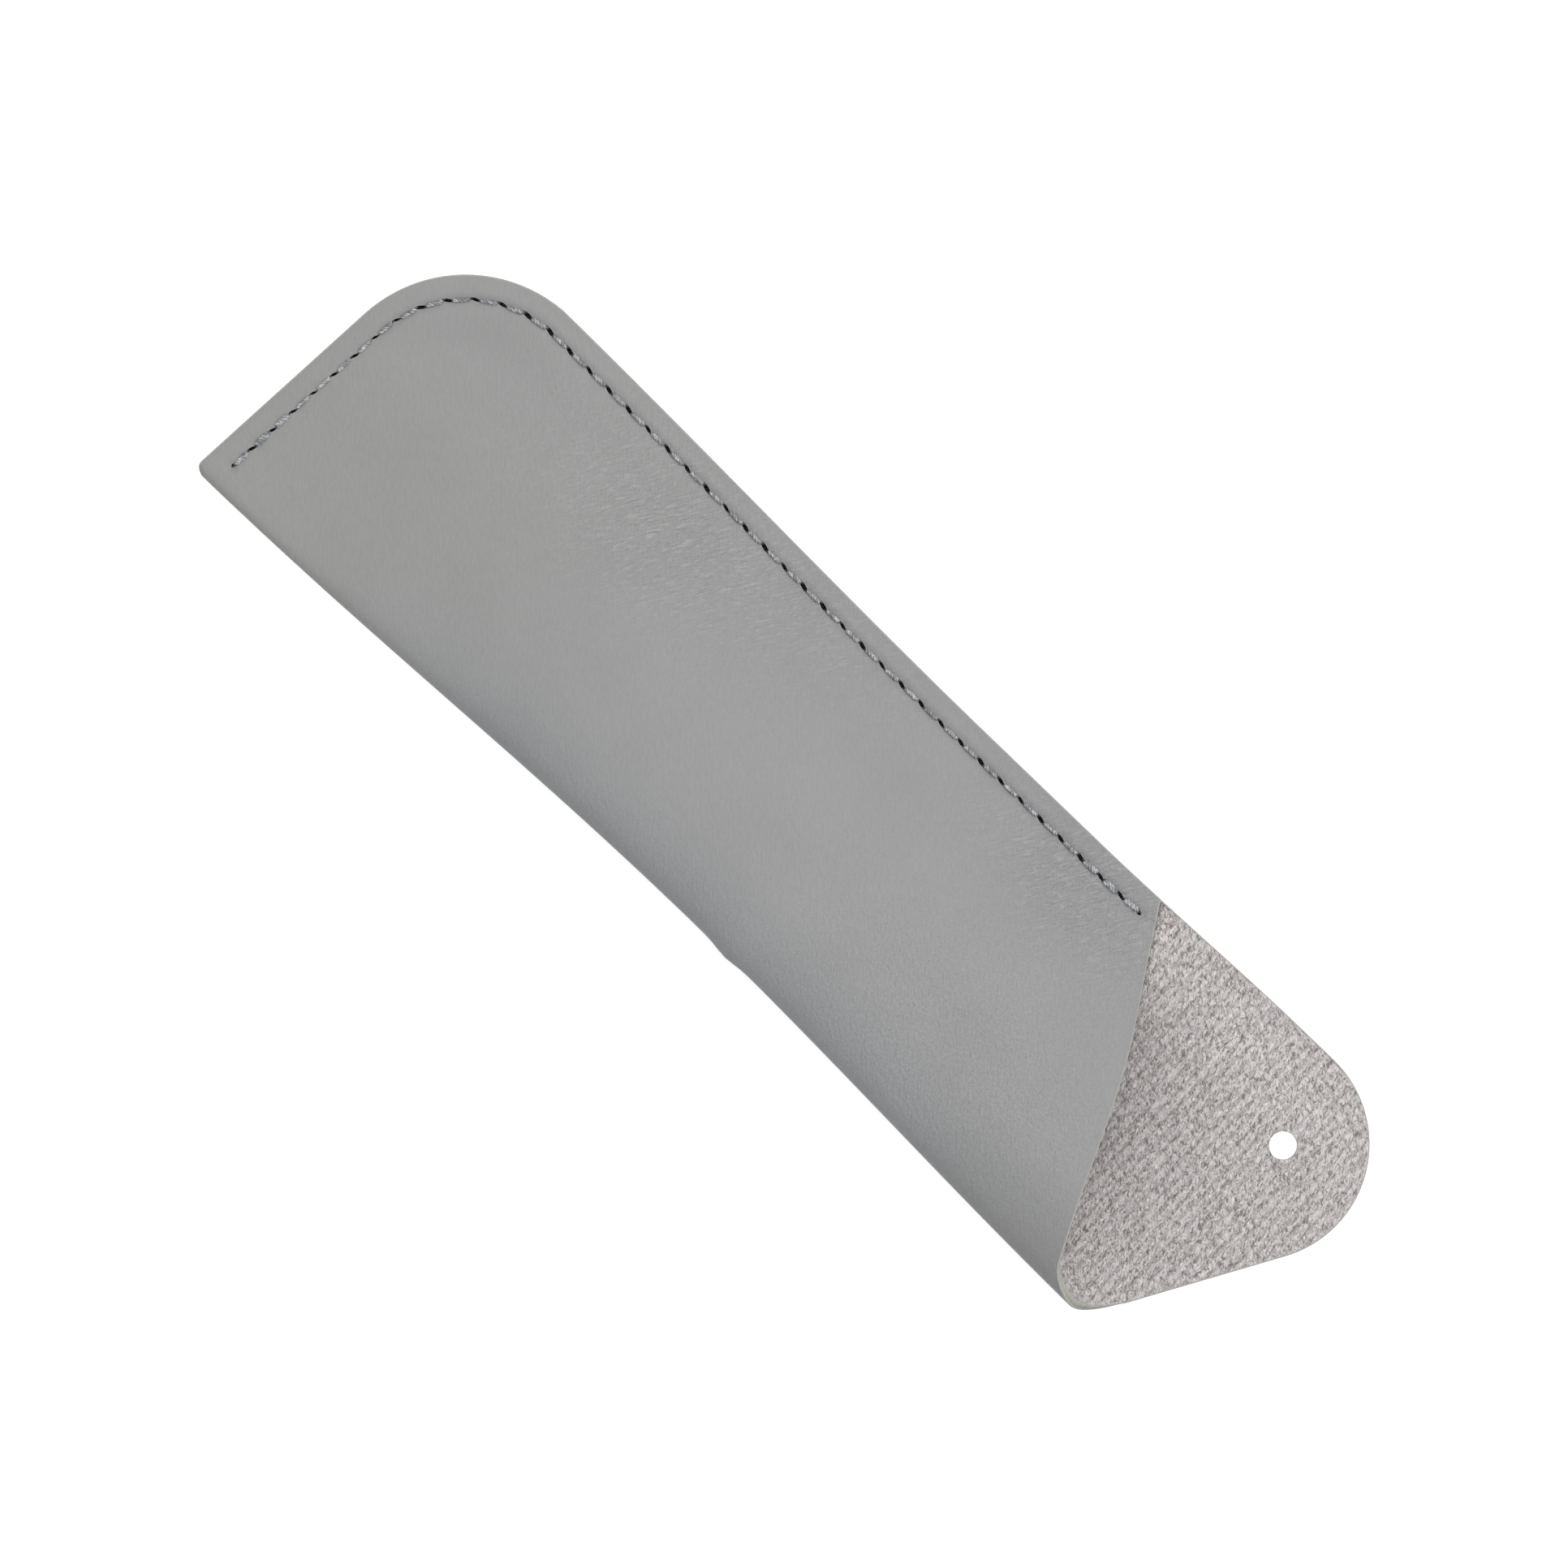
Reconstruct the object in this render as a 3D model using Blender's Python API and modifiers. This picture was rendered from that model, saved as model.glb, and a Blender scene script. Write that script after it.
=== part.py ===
"""A pen pouch: one blank of laminated leather, folded along a spine and closed by a lockstitched seam.

The pouch lies on its back. X runs from the closed end to the flap, Y from the spine fold to the sewn
edge, and Z up. The origin is the middle of the box round the pouch, on the surface that it lies on.
The shapes are worked out in pouch coordinates, which start at the closed end and at the spine,
and are shifted to the origin when they are placed.
"""

import math

import bmesh
import bpy
from mathutils import Matrix, Vector

MM = 0.001
RIGHT_ANGLE = 0.5 * math.pi

# The folded blank, seen from above
OVERALL_LENGTH = 175.0 * MM
OVERALL_WIDTH = 47.9 * MM
END_SKEW = math.radians(4.0)
END_CORNER_RADIUS = 19.5 * MM
SPINE_CORNER_RADIUS = 1.3 * MM
CUT_ANGLE = math.radians(60.25)
FLAP_TIP_RADIUS = 15.2 * MM
HANG_HOLE_DIAMETER = 3.7 * MM
HANG_HOLE_FROM_TIP = 12.2 * MM
HANG_HOLE_FROM_EDGE = 12.6 * MM

# The mouth's cut is a little hollow on the front, from near the spine outward
MOUTH_HOLLOW = 2.6 * MM
MOUTH_HOLLOW_RISE = 5.0 * MM
MOUTH_HOLLOW_REACH = 30.0 * MM

# The laminate, from the outside in
SKIN_THICKNESS = 0.4 * MM
BOND_LINE = 0.1 * MM
LINING_THICKNESS = 0.7 * MM
SHEET = SKIN_THICKNESS + BOND_LINE + LINING_THICKNESS

# How far the two long edges draw in where the pocket swells
SPINE_DRIFT = 0.55 * MM
SPINE_BOW = 2.2 * MM
SPINE_BOW_POWER = 2.0
SPINE_BOW_SPAN_SHARES = (0.02, 0.94)
EDGE_BOW = 1.5 * MM
EDGE_BOW_SPAN_SHARES = (0.08, 0.56)
EDGE_RETURN = 0.75 * MM
EDGE_RETURN_SPAN_SHARES = (0.68, 0.88)

# The swell of the pocket, measured between the lining's faces
POCKET_HEIGHT = 7.4 * MM
SWELL_START = 5.0 * MM
SWELL_FULL = 72.0 * MM
CREST_FROM_SPINE = 15.0 * MM
ROLL_FULLNESS = 2.8
CREST_AT_END = 1.0 * MM
UNDER_ROLL_WIDTH = 4.0 * MM
UNDER_ROLL_AT_END = 0.9 * MM
SPINE_HEIGHT_SHARE = 0.5
FRONT_FALL_POWER = 1.5

# The seam, a lockstitch through both layers of the rim
SEAM_INSET = 3.2 * MM
SEAM_GAP = 0.3 * MM
SEAM_START_FROM_SPINE = 3.4 * MM
SEAM_END_FROM_MOUTH = 2.3 * MM
STITCH_PITCH = 3.6 * MM
THREAD_DIAMETER = 0.4 * MM
THREAD_SEAT_GAP = 0.1 * MM
STRAND_OFFSET = 0.33 * MM
LOOP_DEPTH = 0.3 * MM
NEEDLE_SLIT_LENGTH = 1.45 * MM
NEEDLE_SLIT_WIDTH = 0.55 * MM
SLIT_SLANT = math.radians(45.0)
LINING_HOLE_WIDTH = 1.25 * MM

# The rim stands clear of the table, so that the stitches under it do too
RIM_LIFT = 0.65 * MM
RIM_LIFT_MARGIN = 1.0 * MM
RIM_LIFT_RUN = 7.0 * MM

# The flap turns up along a line parallel to the mouth, and clears the swollen front when it lies over it
FOLD_SETBACK = 4.5 * MM
FOLD_SLIT = 0.4 * MM
FLAP_CLEARANCE = 0.4 * MM

# How finely the curved sheets are drawn
UPPER_ROLL_STEPS = 6
LOWER_ROLL_STEPS = 5
CORNER_STEPS = 7
PANEL_STEPS = 4
SLEEVE_STEPS = 16
FLAP_STEPS = 5
HANG_HOLE_SIDES = 24
THREAD_RESOLUTION = 1
SEAM_CORNER_STEPS = 24
SEAM_EDGE_STEPS = 30
CUT_OVERRUN = 1.0 * MM
SOLVER_STEPS = 40

SKIN_COLOUR = (0.335, 0.335, 0.34, 1.0)
LINING_COLOUR = (0.47, 0.44, 0.435, 1.0)
THREAD_COLOUR = (0.30, 0.31, 0.32, 1.0)
SKIN_ROUGHNESS = 0.5
LINING_ROUGHNESS = 0.9
THREAD_ROUGHNESS = 0.6


def smooth(value):
    """A step from 0 to 1 that starts and ends level."""
    t = min(max(value, 0.0), 1.0)
    return t * t * (3.0 - 2.0 * t)


def mix(a, b, t):
    return a + (b - a) * t


def span(x, shares):
    """How far x has gone between two shares of the overall length."""
    start, end = (share * OVERALL_LENGTH for share in shares)
    return (x - start) / (end - start)


# The outline in plan


def spine_y(x):
    """The outside of the spine fold, which drifts inward along the pouch and bows in where it swells."""
    t = min(max(span(x, SPINE_BOW_SPAN_SHARES), 0.0), 1.0)
    return SPINE_DRIFT * x / OVERALL_LENGTH + SPINE_BOW * math.sin(math.pi * t) ** SPINE_BOW_POWER


def edge_y(x):
    """The sewn edge, which runs on along the flap."""
    bow = EDGE_BOW * smooth(span(x, EDGE_BOW_SPAN_SHARES))
    return OVERALL_WIDTH - bow + EDGE_RETURN * smooth(span(x, EDGE_RETURN_SPAN_SHARES))


CORNER_Y = OVERALL_WIDTH - END_CORNER_RADIUS
CORNER_X = END_CORNER_RADIUS / math.cos(END_SKEW) + math.tan(END_SKEW) * CORNER_Y
TIP_X = OVERALL_LENGTH - FLAP_TIP_RADIUS
TIP_Y = edge_y(TIP_X) - FLAP_TIP_RADIUS
CUT_SLOPE = 1.0 / math.tan(CUT_ANGLE)
HANG_HOLE_X = OVERALL_LENGTH - HANG_HOLE_FROM_TIP
HANG_HOLE_Y = edge_y(HANG_HOLE_X) - HANG_HOLE_FROM_EDGE


def end_x(y):
    """The closed end: a slightly skewed straight cut, rounded a little at the spine and fully at the seam."""
    if y < CORNER_Y + END_CORNER_RADIUS * math.sin(END_SKEW):
        short = min(max(SPINE_CORNER_RADIUS - y, 0.0), SPINE_CORNER_RADIUS)
        return math.tan(END_SKEW) * y + SPINE_CORNER_RADIUS - math.sqrt(SPINE_CORNER_RADIUS**2 - short**2)
    rise = min(y - CORNER_Y, END_CORNER_RADIUS)
    return CORNER_X - math.sqrt(END_CORNER_RADIUS**2 - rise**2)


def flap_cut_x(y):
    """The straight cut on the flap's free side, tangent to its round tip."""
    return TIP_X + (FLAP_TIP_RADIUS + math.cos(CUT_ANGLE) * (y - TIP_Y)) / math.sin(CUT_ANGLE)


def flap_end_x(y):
    """The free outline of the flap: its straight cut, then its round tip."""
    if y < TIP_Y - FLAP_TIP_RADIUS * math.cos(CUT_ANGLE):
        return flap_cut_x(y)
    rise = min(y - TIP_Y, FLAP_TIP_RADIUS)
    return TIP_X + math.sqrt(FLAP_TIP_RADIUS**2 - rise**2)


# The folded and swollen sheet, as the face of its lining


def swell(x):
    return smooth((x - SWELL_START) / (SWELL_FULL - SWELL_START))


def crest_gap(x):
    """The clear height of the pocket at its highest."""
    return mix(SEAM_GAP, POCKET_HEIGHT, swell(x))


def inner_spine_y(x):
    return spine_y(x) + SHEET


def crest_y(x):
    return inner_spine_y(x) + mix(CREST_AT_END, CREST_FROM_SPINE, swell(x))


def under_roll(x):
    return mix(UNDER_ROLL_AT_END, UNDER_ROLL_WIDTH, swell(x))


def seam_y(x):
    """Where the seam runs at this x, round the end's corner and along the edge."""
    if x > CORNER_X:
        return edge_y(x) - SEAM_INSET
    radius = END_CORNER_RADIUS - SEAM_INSET
    run = min(CORNER_X - x, radius)
    return CORNER_Y + math.sqrt(radius**2 - run**2)


def lift(x, y):
    """How far the sheet stands off the table, all of RIM_LIFT along the seam and none inside it."""
    from_end = x - end_x(y) - SEAM_INSET - RIM_LIFT_MARGIN
    at_end = 1.0 - smooth(from_end / RIM_LIFT_RUN)
    along = smooth((y - seam_y(x) + RIM_LIFT_MARGIN) / RIM_LIFT_RUN + 1.0)
    along *= 1.0 - smooth((x - SEAM_END_X - RIM_LIFT_MARGIN) / RIM_LIFT_RUN)
    return RIM_LIFT * (1.0 - (1.0 - at_end) * (1.0 - along))


def upper_roll(x, turn):
    """The spine's upper half, from its outermost line at 0 to the crest at a right angle."""
    gap = crest_gap(x)
    power = 2.0 / ROLL_FULLNESS
    y = mix(crest_y(x), inner_spine_y(x), math.cos(turn) ** power)
    return y, mix(SPINE_HEIGHT_SHARE * gap, gap, math.sin(turn) ** power)


def lower_roll(x, turn):
    """The spine's lower half, from its outermost line at 0 to the flat back at a right angle."""
    y = inner_spine_y(x) + under_roll(x) * (1.0 - math.cos(turn))
    return y, SPINE_HEIGHT_SHARE * crest_gap(x) * (1.0 - math.sin(turn))


def front_panel(x, share):
    """From the crest at 0 down the front to the sewn edge at 1."""
    crest = crest_y(x)
    y = mix(crest, edge_y(x), share)
    reach = min((y - crest) / (seam_y(x) - crest), 1.0)
    return y, mix(SEAM_GAP, crest_gap(x), (1.0 - reach**2) ** FRONT_FALL_POWER)


def back_panel(x, share):
    """From the end of the lower roll at 0 across the flat back to the sewn edge at 1."""
    return mix(inner_spine_y(x) + under_roll(x), edge_y(x), share), 0.0


# The lines that run along the sheet, from the front's sewn edge round the spine to the back's


def panel_shares():
    """Shares across a panel, the last at its edge, close enough there to draw the round corners."""
    corner_share = END_CORNER_RADIUS / (OVERALL_WIDTH - SHEET - CREST_AT_END)
    turns = [RIGHT_ANGLE * step / CORNER_STEPS for step in range(CORNER_STEPS + 1)]
    corner = [1.0 - corner_share * (1.0 - math.sin(turn)) for turn in turns]
    return [corner[0] * step / PANEL_STEPS for step in range(PANEL_STEPS)] + corner


def roll_turns(steps):
    return [RIGHT_ANGLE * step / steps for step in range(steps)]


FRONT_LINES = [(front_panel, share) for share in reversed(panel_shares())]
FRONT_LINES += [(upper_roll, turn) for turn in reversed(roll_turns(UPPER_ROLL_STEPS))]
BACK_LINES = [(lower_roll, turn) for turn in roll_turns(LOWER_ROLL_STEPS)[1:]]
BACK_LINES += [(back_panel, share) for share in panel_shares()]


def sheet_point(x, line):
    """A point of the lining's face, on one of the lines."""
    place, value = line
    y, height = place(x, value)
    return Vector((x, y, SHEET + height + lift(x, y)))


def sheet_runs(lines, x, outward):
    """The length of the outer face at x, from the spine's outermost line to each of the lines."""
    points = [Vector(upper_roll(x, 0.0))] + [Vector(place(x, value)) for place, value in lines]
    outer = []
    for before, here, after in zip(points[:1] + points, points, points[1:] + points[-1:]):
        along = (after - before).normalized()
        outer.append(here + outward * SHEET * Vector((along.y, -along.x)))
    runs = [0.0]
    for before, here in zip(outer, outer[1:]):
        runs.append(runs[-1] + (here - before).length)
    return runs[1:]


# One straight oblique cut shapes the whole blank: past the spine it cuts the flap, before it the mouth
MOUTH_X = flap_cut_x(0.0)
BACK_RUNS = sheet_runs(BACK_LINES, MOUTH_X, 1.0)
FRONT_RUNS = sheet_runs(FRONT_LINES[-2::-1], MOUTH_X, -1.0)[::-1] + [0.0]
CUT_AT_SPINE = flap_cut_x(edge_y(MOUTH_X)) - CUT_SLOPE * BACK_RUNS[-1]
MOUTH_CORNER_X = CUT_AT_SPINE - CUT_SLOPE * FRONT_RUNS[0]
FOLD_AT_SPINE = MOUTH_CORNER_X + CUT_SLOPE * edge_y(MOUTH_CORNER_X) + FOLD_SETBACK / math.sin(CUT_ANGLE)
SEAM_END_X = MOUTH_CORNER_X + CUT_SLOPE * SEAM_INSET - SEAM_END_FROM_MOUTH


def mouth_x(run):
    """Where the front ends at the mouth, at a length of its outer face from the spine."""
    hollow = smooth(run / MOUTH_HOLLOW_RISE) * (1.0 - smooth((run - MOUTH_HOLLOW_RISE) / MOUTH_HOLLOW_REACH))
    return CUT_AT_SPINE - CUT_SLOPE * run - MOUTH_HOLLOW * hollow


def fold_x(y):
    """The line that the flap turns up along."""
    return FOLD_AT_SPINE - CUT_SLOPE * y


def outer_y(x, line):
    """The y of the sheet's outer face, which round the spine is outside the lining's face."""
    place, value = line
    outward = math.cos(value) if place in (upper_roll, lower_roll) else 0.0
    return place(x, value)[0] - SHEET * outward


def meet(line, outline, start, end):
    """The x between start and end at which a line along the sheet meets an outline x = outline(y)."""
    for _ in range(SOLVER_STEPS):
        middle = 0.5 * (start + end)
        if middle < outline(outer_y(middle, line)):
            start = middle
        else:
            end = middle
    return start


def sleeve_rows(line, end):
    """The places along one line of the sleeve: two by the closed end's seam, then even steps."""
    start = meet(line, end_x, -OVERALL_WIDTH, CORNER_X)
    flat = start + SEAM_INSET + RIM_LIFT_MARGIN
    first = flat + 0.5 * RIM_LIFT_RUN
    even = [mix(first, end, step / SLEEVE_STEPS) for step in range(SLEEVE_STEPS + 1)]
    return [sheet_point(x, line) for x in [start, flat] + even]


def sleeve_grid():
    grid = []
    for line, run in zip(FRONT_LINES, FRONT_RUNS):
        grid.append(sleeve_rows(line, mouth_x(run)))
    for line, run in zip(BACK_LINES, BACK_RUNS):
        fold = meet(line, fold_x, CORNER_X, OVERALL_LENGTH)
        grid.append(sleeve_rows(line, min(fold, CUT_AT_SPINE + CUT_SLOPE * run)))
    return grid


def flap_grid():
    grid = []
    slit = FOLD_SLIT / math.sin(CUT_ANGLE)
    for line, run in zip(BACK_LINES, BACK_RUNS):
        start = meet(line, fold_x, CORNER_X, OVERALL_LENGTH) + slit
        end = meet(line, flap_end_x, start, OVERALL_LENGTH + OVERALL_WIDTH)
        if line[0] is lower_roll:
            end = CUT_AT_SPINE + CUT_SLOPE * run
        if end > start + slit:
            rows = [mix(start, end, step / FLAP_STEPS) for step in range(FLAP_STEPS + 1)]
            grid.append([sheet_point(x, line) for x in rows])
    return grid


# The seam


def seam_path():
    """The seam's places in plan, from the spine round the corner to the mouth, and how far along each is."""
    radius = END_CORNER_RADIUS - SEAM_INSET
    off_end = SEAM_INSET / math.cos(END_SKEW)
    places = [Vector((math.tan(END_SKEW) * SEAM_START_FROM_SPINE + off_end, SEAM_START_FROM_SPINE))]
    for step in range(SEAM_CORNER_STEPS + 1):
        turn = mix(END_SKEW, RIGHT_ANGLE, step / SEAM_CORNER_STEPS)
        places.append(Vector((CORNER_X - radius * math.cos(turn), CORNER_Y + radius * math.sin(turn))))
    for step in range(1, SEAM_EDGE_STEPS + 1):
        x = mix(CORNER_X, SEAM_END_X, step / SEAM_EDGE_STEPS)
        places.append(Vector((x, seam_y(x))))
    marks = [0.0]
    for before, here in zip(places, places[1:]):
        marks.append(marks[-1] + (here - before).length)
    return places, marks


def seam_place(places, marks, mark):
    """The place and the direction of the seam at a length along it."""
    index = 1
    while index < len(marks) - 1 and marks[index] < mark:
        index += 1
    before, here = places[index - 1], places[index]
    share = (mark - marks[index - 1]) / (marks[index] - marks[index - 1])
    return before.lerp(here, share), (here - before).normalized()


SEAM_PLACES, SEAM_MARKS = seam_path()
STITCH_COUNT = round(SEAM_MARKS[-1] / STITCH_PITCH)
STITCH_LENGTH = SEAM_MARKS[-1] / STITCH_COUNT
RIM_TOP = RIM_LIFT + 2.0 * SHEET + SEAM_GAP
RIM_MIDDLE = 0.5 * (RIM_LIFT + RIM_TOP)
STRAND_GAP = math.sqrt(2.0) * STRAND_OFFSET - THREAD_DIAMETER
THREAD_RISE = 0.5 * (RIM_TOP - RIM_LIFT + THREAD_DIAMETER) + THREAD_SEAT_GAP


def thread_points(side):
    """One strand of the lockstitch, above the rim for side 1 and below it for side -1.

    It runs flat between the needle holes. In each hole it goes down one corner, crosses to the far corner
    beyond the other strand, and comes back, so that the two strands hold each other.
    """
    points = []
    for stitch in range(STITCH_COUNT + 1):
        place, along = seam_place(SEAM_PLACES, SEAM_MARKS, stitch * STITCH_LENGTH)
        across = side * Vector((-along.y, along.x))
        enter = place + STRAND_OFFSET * (across - along)
        leave = place + STRAND_OFFSET * (along - across)
        surface = RIM_MIDDLE + side * THREAD_RISE
        loop = RIM_MIDDLE - side * LOOP_DEPTH
        if stitch > 0:
            points.append(enter.to_3d() + Vector((0.0, 0.0, surface)))
        points.append(enter.to_3d() + Vector((0.0, 0.0, loop)))
        points.append(leave.to_3d() + Vector((0.0, 0.0, loop)))
        if stitch < STITCH_COUNT:
            points.append(leave.to_3d() + Vector((0.0, 0.0, surface)))
    return points


# Objects


def to_origin(point):
    """From pouch coordinates to the part's own, whose origin is under the middle of the pouch."""
    return point - Vector((0.5 * OVERALL_LENGTH, 0.5 * OVERALL_WIDTH, 0.0))


def start_collection(name):
    collection = bpy.data.collections.new(name)
    bpy.context.scene.collection.children.link(collection)
    return collection


def principled(name, colour, roughness):
    material = bpy.data.materials.new(name)
    material.use_nodes = True
    shader = material.node_tree.nodes["Principled BSDF"]
    shader.inputs["Base Color"].default_value = colour
    shader.inputs["Roughness"].default_value = roughness
    shader.inputs["Metallic"].default_value = 0.0
    return material


def link_mesh(name, bm, collection):
    bmesh.ops.recalc_face_normals(bm, faces=bm.faces)
    mesh = bpy.data.meshes.new(name)
    bm.to_mesh(mesh)
    bm.free()
    piece = bpy.data.objects.new(name, mesh)
    collection.objects.link(piece)
    return piece


def sheet_object(name, grid, collection, material, thickness, under):
    """One layer of the laminate: a grid of the lining's face, thickened outward with `under` beneath it."""
    bm = bmesh.new()
    rows = [[bm.verts.new(to_origin(point)) for point in line] for line in grid]
    for line, following in zip(rows, rows[1:]):
        for a, b, c, d in zip(line, following, following[1:], line[1:]):
            bm.faces.new((a, b, c, d))
    mesh = bpy.data.meshes.new(name)
    bm.to_mesh(mesh)
    bm.free()
    piece = bpy.data.objects.new(name, mesh)
    collection.objects.link(piece)
    mesh.materials.append(material)
    solidify = piece.modifiers.new("thickness", "SOLIDIFY")
    solidify.thickness = thickness
    solidify.offset = 1.0 + 2.0 * under / thickness
    solidify.use_even_offset = True
    mesh.shade_smooth()
    return piece


def cut(piece, cutter):
    modifier = piece.modifiers.new(cutter.name, "BOOLEAN")
    modifier.operation = "DIFFERENCE"
    modifier.solver = "EXACT"
    modifier.object = cutter


def hide_cutter(piece):
    piece.hide_render = True
    piece.display_type = "WIRE"
    return piece


def hole_row(name, collection, opening, slant, bottom, top):
    """A box through the rim at every needle hole, turned by `slant` from the seam's direction."""
    bm = bmesh.new()
    for stitch in range(STITCH_COUNT + 1):
        place, along = seam_place(SEAM_PLACES, SEAM_MARKS, stitch * STITCH_LENGTH)
        centre = to_origin(place.to_3d() + Vector((0.0, 0.0, 0.5 * (bottom + top))))
        turn = Matrix.Rotation(math.atan2(along.y, along.x) + slant, 4, "Z")
        size = Matrix.Diagonal((*opening, top - bottom, 1.0))
        bmesh.ops.create_cube(bm, size=1.0, matrix=Matrix.Translation(centre) @ turn @ size)
    return hide_cutter(link_mesh(name, bm, collection))


def hang_hole_cutter(collection):
    bm = bmesh.new()
    centre = to_origin(Vector((HANG_HOLE_X, HANG_HOLE_Y, 0.5 * SHEET)))
    radius = 0.5 * HANG_HOLE_DIAMETER
    bmesh.ops.create_cone(
        bm,
        cap_ends=True,
        segments=HANG_HOLE_SIDES,
        radius1=radius,
        radius2=radius,
        depth=SHEET + 2.0 * CUT_OVERRUN,
        matrix=Matrix.Translation(centre),
    )
    return hide_cutter(link_mesh("hang_hole_punch", bm, collection))


def thread_object(name, side, collection, material):
    curve = bpy.data.curves.new(name, "CURVE")
    curve.dimensions = "3D"
    curve.bevel_depth = 0.5 * THREAD_DIAMETER
    curve.bevel_resolution = THREAD_RESOLUTION
    curve.use_fill_caps = True
    points = [to_origin(point) for point in thread_points(side)]
    spline = curve.splines.new("POLY")
    spline.points.add(len(points) - 1)
    for target, point in zip(spline.points, points):
        target.co = (*point, 1.0)
    piece = bpy.data.objects.new(name, curve)
    collection.objects.link(piece)
    curve.materials.append(material)
    return piece


def ride_on(piece, pivot):
    piece.parent = pivot
    piece.matrix_parent_inverse = pivot.matrix_world.inverted()


def fold_pivot(collection):
    """An empty on the flap's fold axis, just over half the pocket's thickness, turned along the fold line."""
    pivot = bpy.data.objects.new("flap_fold_axis", None)
    collection.objects.link(pivot)
    height = 0.5 * (2.0 * SHEET + POCKET_HEIGHT) + FLAP_CLEARANCE
    middle_y = 0.5 * OVERALL_WIDTH
    slit = 0.5 * FOLD_SLIT / math.sin(CUT_ANGLE)
    place = to_origin(Vector((fold_x(middle_y) + slit, middle_y, height)))
    pivot.matrix_world = Matrix.Translation(place) @ Matrix.Rotation(-CUT_ANGLE, 4, "Z")
    return pivot


def build():
    for piece in list(bpy.data.objects):
        bpy.data.objects.remove(piece, do_unlink=True)
    pouch = start_collection("pen_pouch")
    cutters = start_collection("cutters")
    skin = principled("leather_skin", SKIN_COLOUR, SKIN_ROUGHNESS)
    lining = principled("knitted_lining", LINING_COLOUR, LINING_ROUGHNESS)
    thread = principled("sewing_thread", THREAD_COLOUR, THREAD_ROUGHNESS)

    above = RIM_TOP + CUT_OVERRUN
    slit = (NEEDLE_SLIT_LENGTH, NEEDLE_SLIT_WIDTH)
    square = (LINING_HOLE_WIDTH, LINING_HOLE_WIDTH)
    needle_slits = hole_row("needle_slits", cutters, slit, -SLIT_SLANT, RIM_MIDDLE, above)
    bobbin_slits = hole_row("bobbin_slits", cutters, slit, SLIT_SLANT, -CUT_OVERRUN, RIM_MIDDLE)
    lining_holes = hole_row("lining_holes", cutters, square, 0.0, -CUT_OVERRUN, above)
    punch = hang_hole_cutter(cutters)

    sleeve = sleeve_grid()
    flap = flap_grid()
    under_skin = LINING_THICKNESS + BOND_LINE
    pouch_skin = sheet_object("pouch_skin", sleeve, pouch, skin, SKIN_THICKNESS, under_skin)
    pouch_lining = sheet_object("pouch_lining", sleeve, pouch, lining, LINING_THICKNESS, 0.0)
    flap_skin = sheet_object("flap_skin", flap, pouch, skin, SKIN_THICKNESS, under_skin)
    flap_lining = sheet_object("flap_lining", flap, pouch, lining, LINING_THICKNESS, 0.0)
    cut(pouch_skin, needle_slits)
    cut(pouch_skin, bobbin_slits)
    cut(pouch_lining, lining_holes)
    pivot = fold_pivot(pouch)
    for piece in (flap_skin, flap_lining):
        cut(piece, punch)
        ride_on(piece, pivot)
    thread_object("needle_thread", 1.0, pouch, thread)
    thread_object("bobbin_thread", -1.0, pouch, thread)
    print(STITCH_COUNT, "stitches; strands", round(STRAND_GAP / MM, 3), "mm apart in the holes")


build()
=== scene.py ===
import math

import bmesh
import bpy
import numpy as np
from mathutils import Matrix, Vector
from mathutils.kdtree import KDTree


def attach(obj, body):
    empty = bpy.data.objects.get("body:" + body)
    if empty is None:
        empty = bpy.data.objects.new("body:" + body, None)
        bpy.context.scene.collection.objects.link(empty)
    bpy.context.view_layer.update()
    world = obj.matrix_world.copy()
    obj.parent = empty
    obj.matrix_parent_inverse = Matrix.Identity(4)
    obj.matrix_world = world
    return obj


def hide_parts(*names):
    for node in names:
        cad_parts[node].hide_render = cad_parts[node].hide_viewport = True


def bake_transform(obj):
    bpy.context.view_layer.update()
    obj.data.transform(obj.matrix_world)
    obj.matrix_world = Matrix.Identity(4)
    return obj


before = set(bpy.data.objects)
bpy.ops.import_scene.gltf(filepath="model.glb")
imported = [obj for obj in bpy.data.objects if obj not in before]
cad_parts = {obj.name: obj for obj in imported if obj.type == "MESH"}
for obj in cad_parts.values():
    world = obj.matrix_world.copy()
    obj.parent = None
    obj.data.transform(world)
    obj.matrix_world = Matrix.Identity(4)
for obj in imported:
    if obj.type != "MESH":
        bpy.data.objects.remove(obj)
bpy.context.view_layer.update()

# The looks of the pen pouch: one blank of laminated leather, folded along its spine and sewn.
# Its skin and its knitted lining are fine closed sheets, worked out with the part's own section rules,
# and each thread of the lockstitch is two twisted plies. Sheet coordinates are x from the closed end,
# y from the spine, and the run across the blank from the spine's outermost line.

MM = 0.001
RIGHT_ANGLE = 0.5 * math.pi
FULL_TURN = 2.0 * math.pi

# The folded blank, as in the part
OVERALL_LENGTH = 175.0 * MM
OVERALL_WIDTH = 47.9 * MM
END_SKEW = math.radians(4.0)
END_CORNER_RADIUS = 19.5 * MM
SPINE_CORNER_RADIUS = 1.3 * MM
CUT_ANGLE = math.radians(60.25)
FLAP_TIP_RADIUS = 15.2 * MM
HANG_HOLE_DIAMETER = 3.7 * MM
HANG_HOLE_FROM_TIP = 12.2 * MM
HANG_HOLE_FROM_EDGE = 12.6 * MM
MOUTH_HOLLOW = 2.6 * MM
MOUTH_HOLLOW_RISE = 5.0 * MM
MOUTH_HOLLOW_REACH = 30.0 * MM
SPINE_EASE = 0.5 * MM
SPINE_EASE_REACH = 5.0 * MM
SHEET = 1.2 * MM
LINING_THICKNESS = 0.8 * MM

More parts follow.
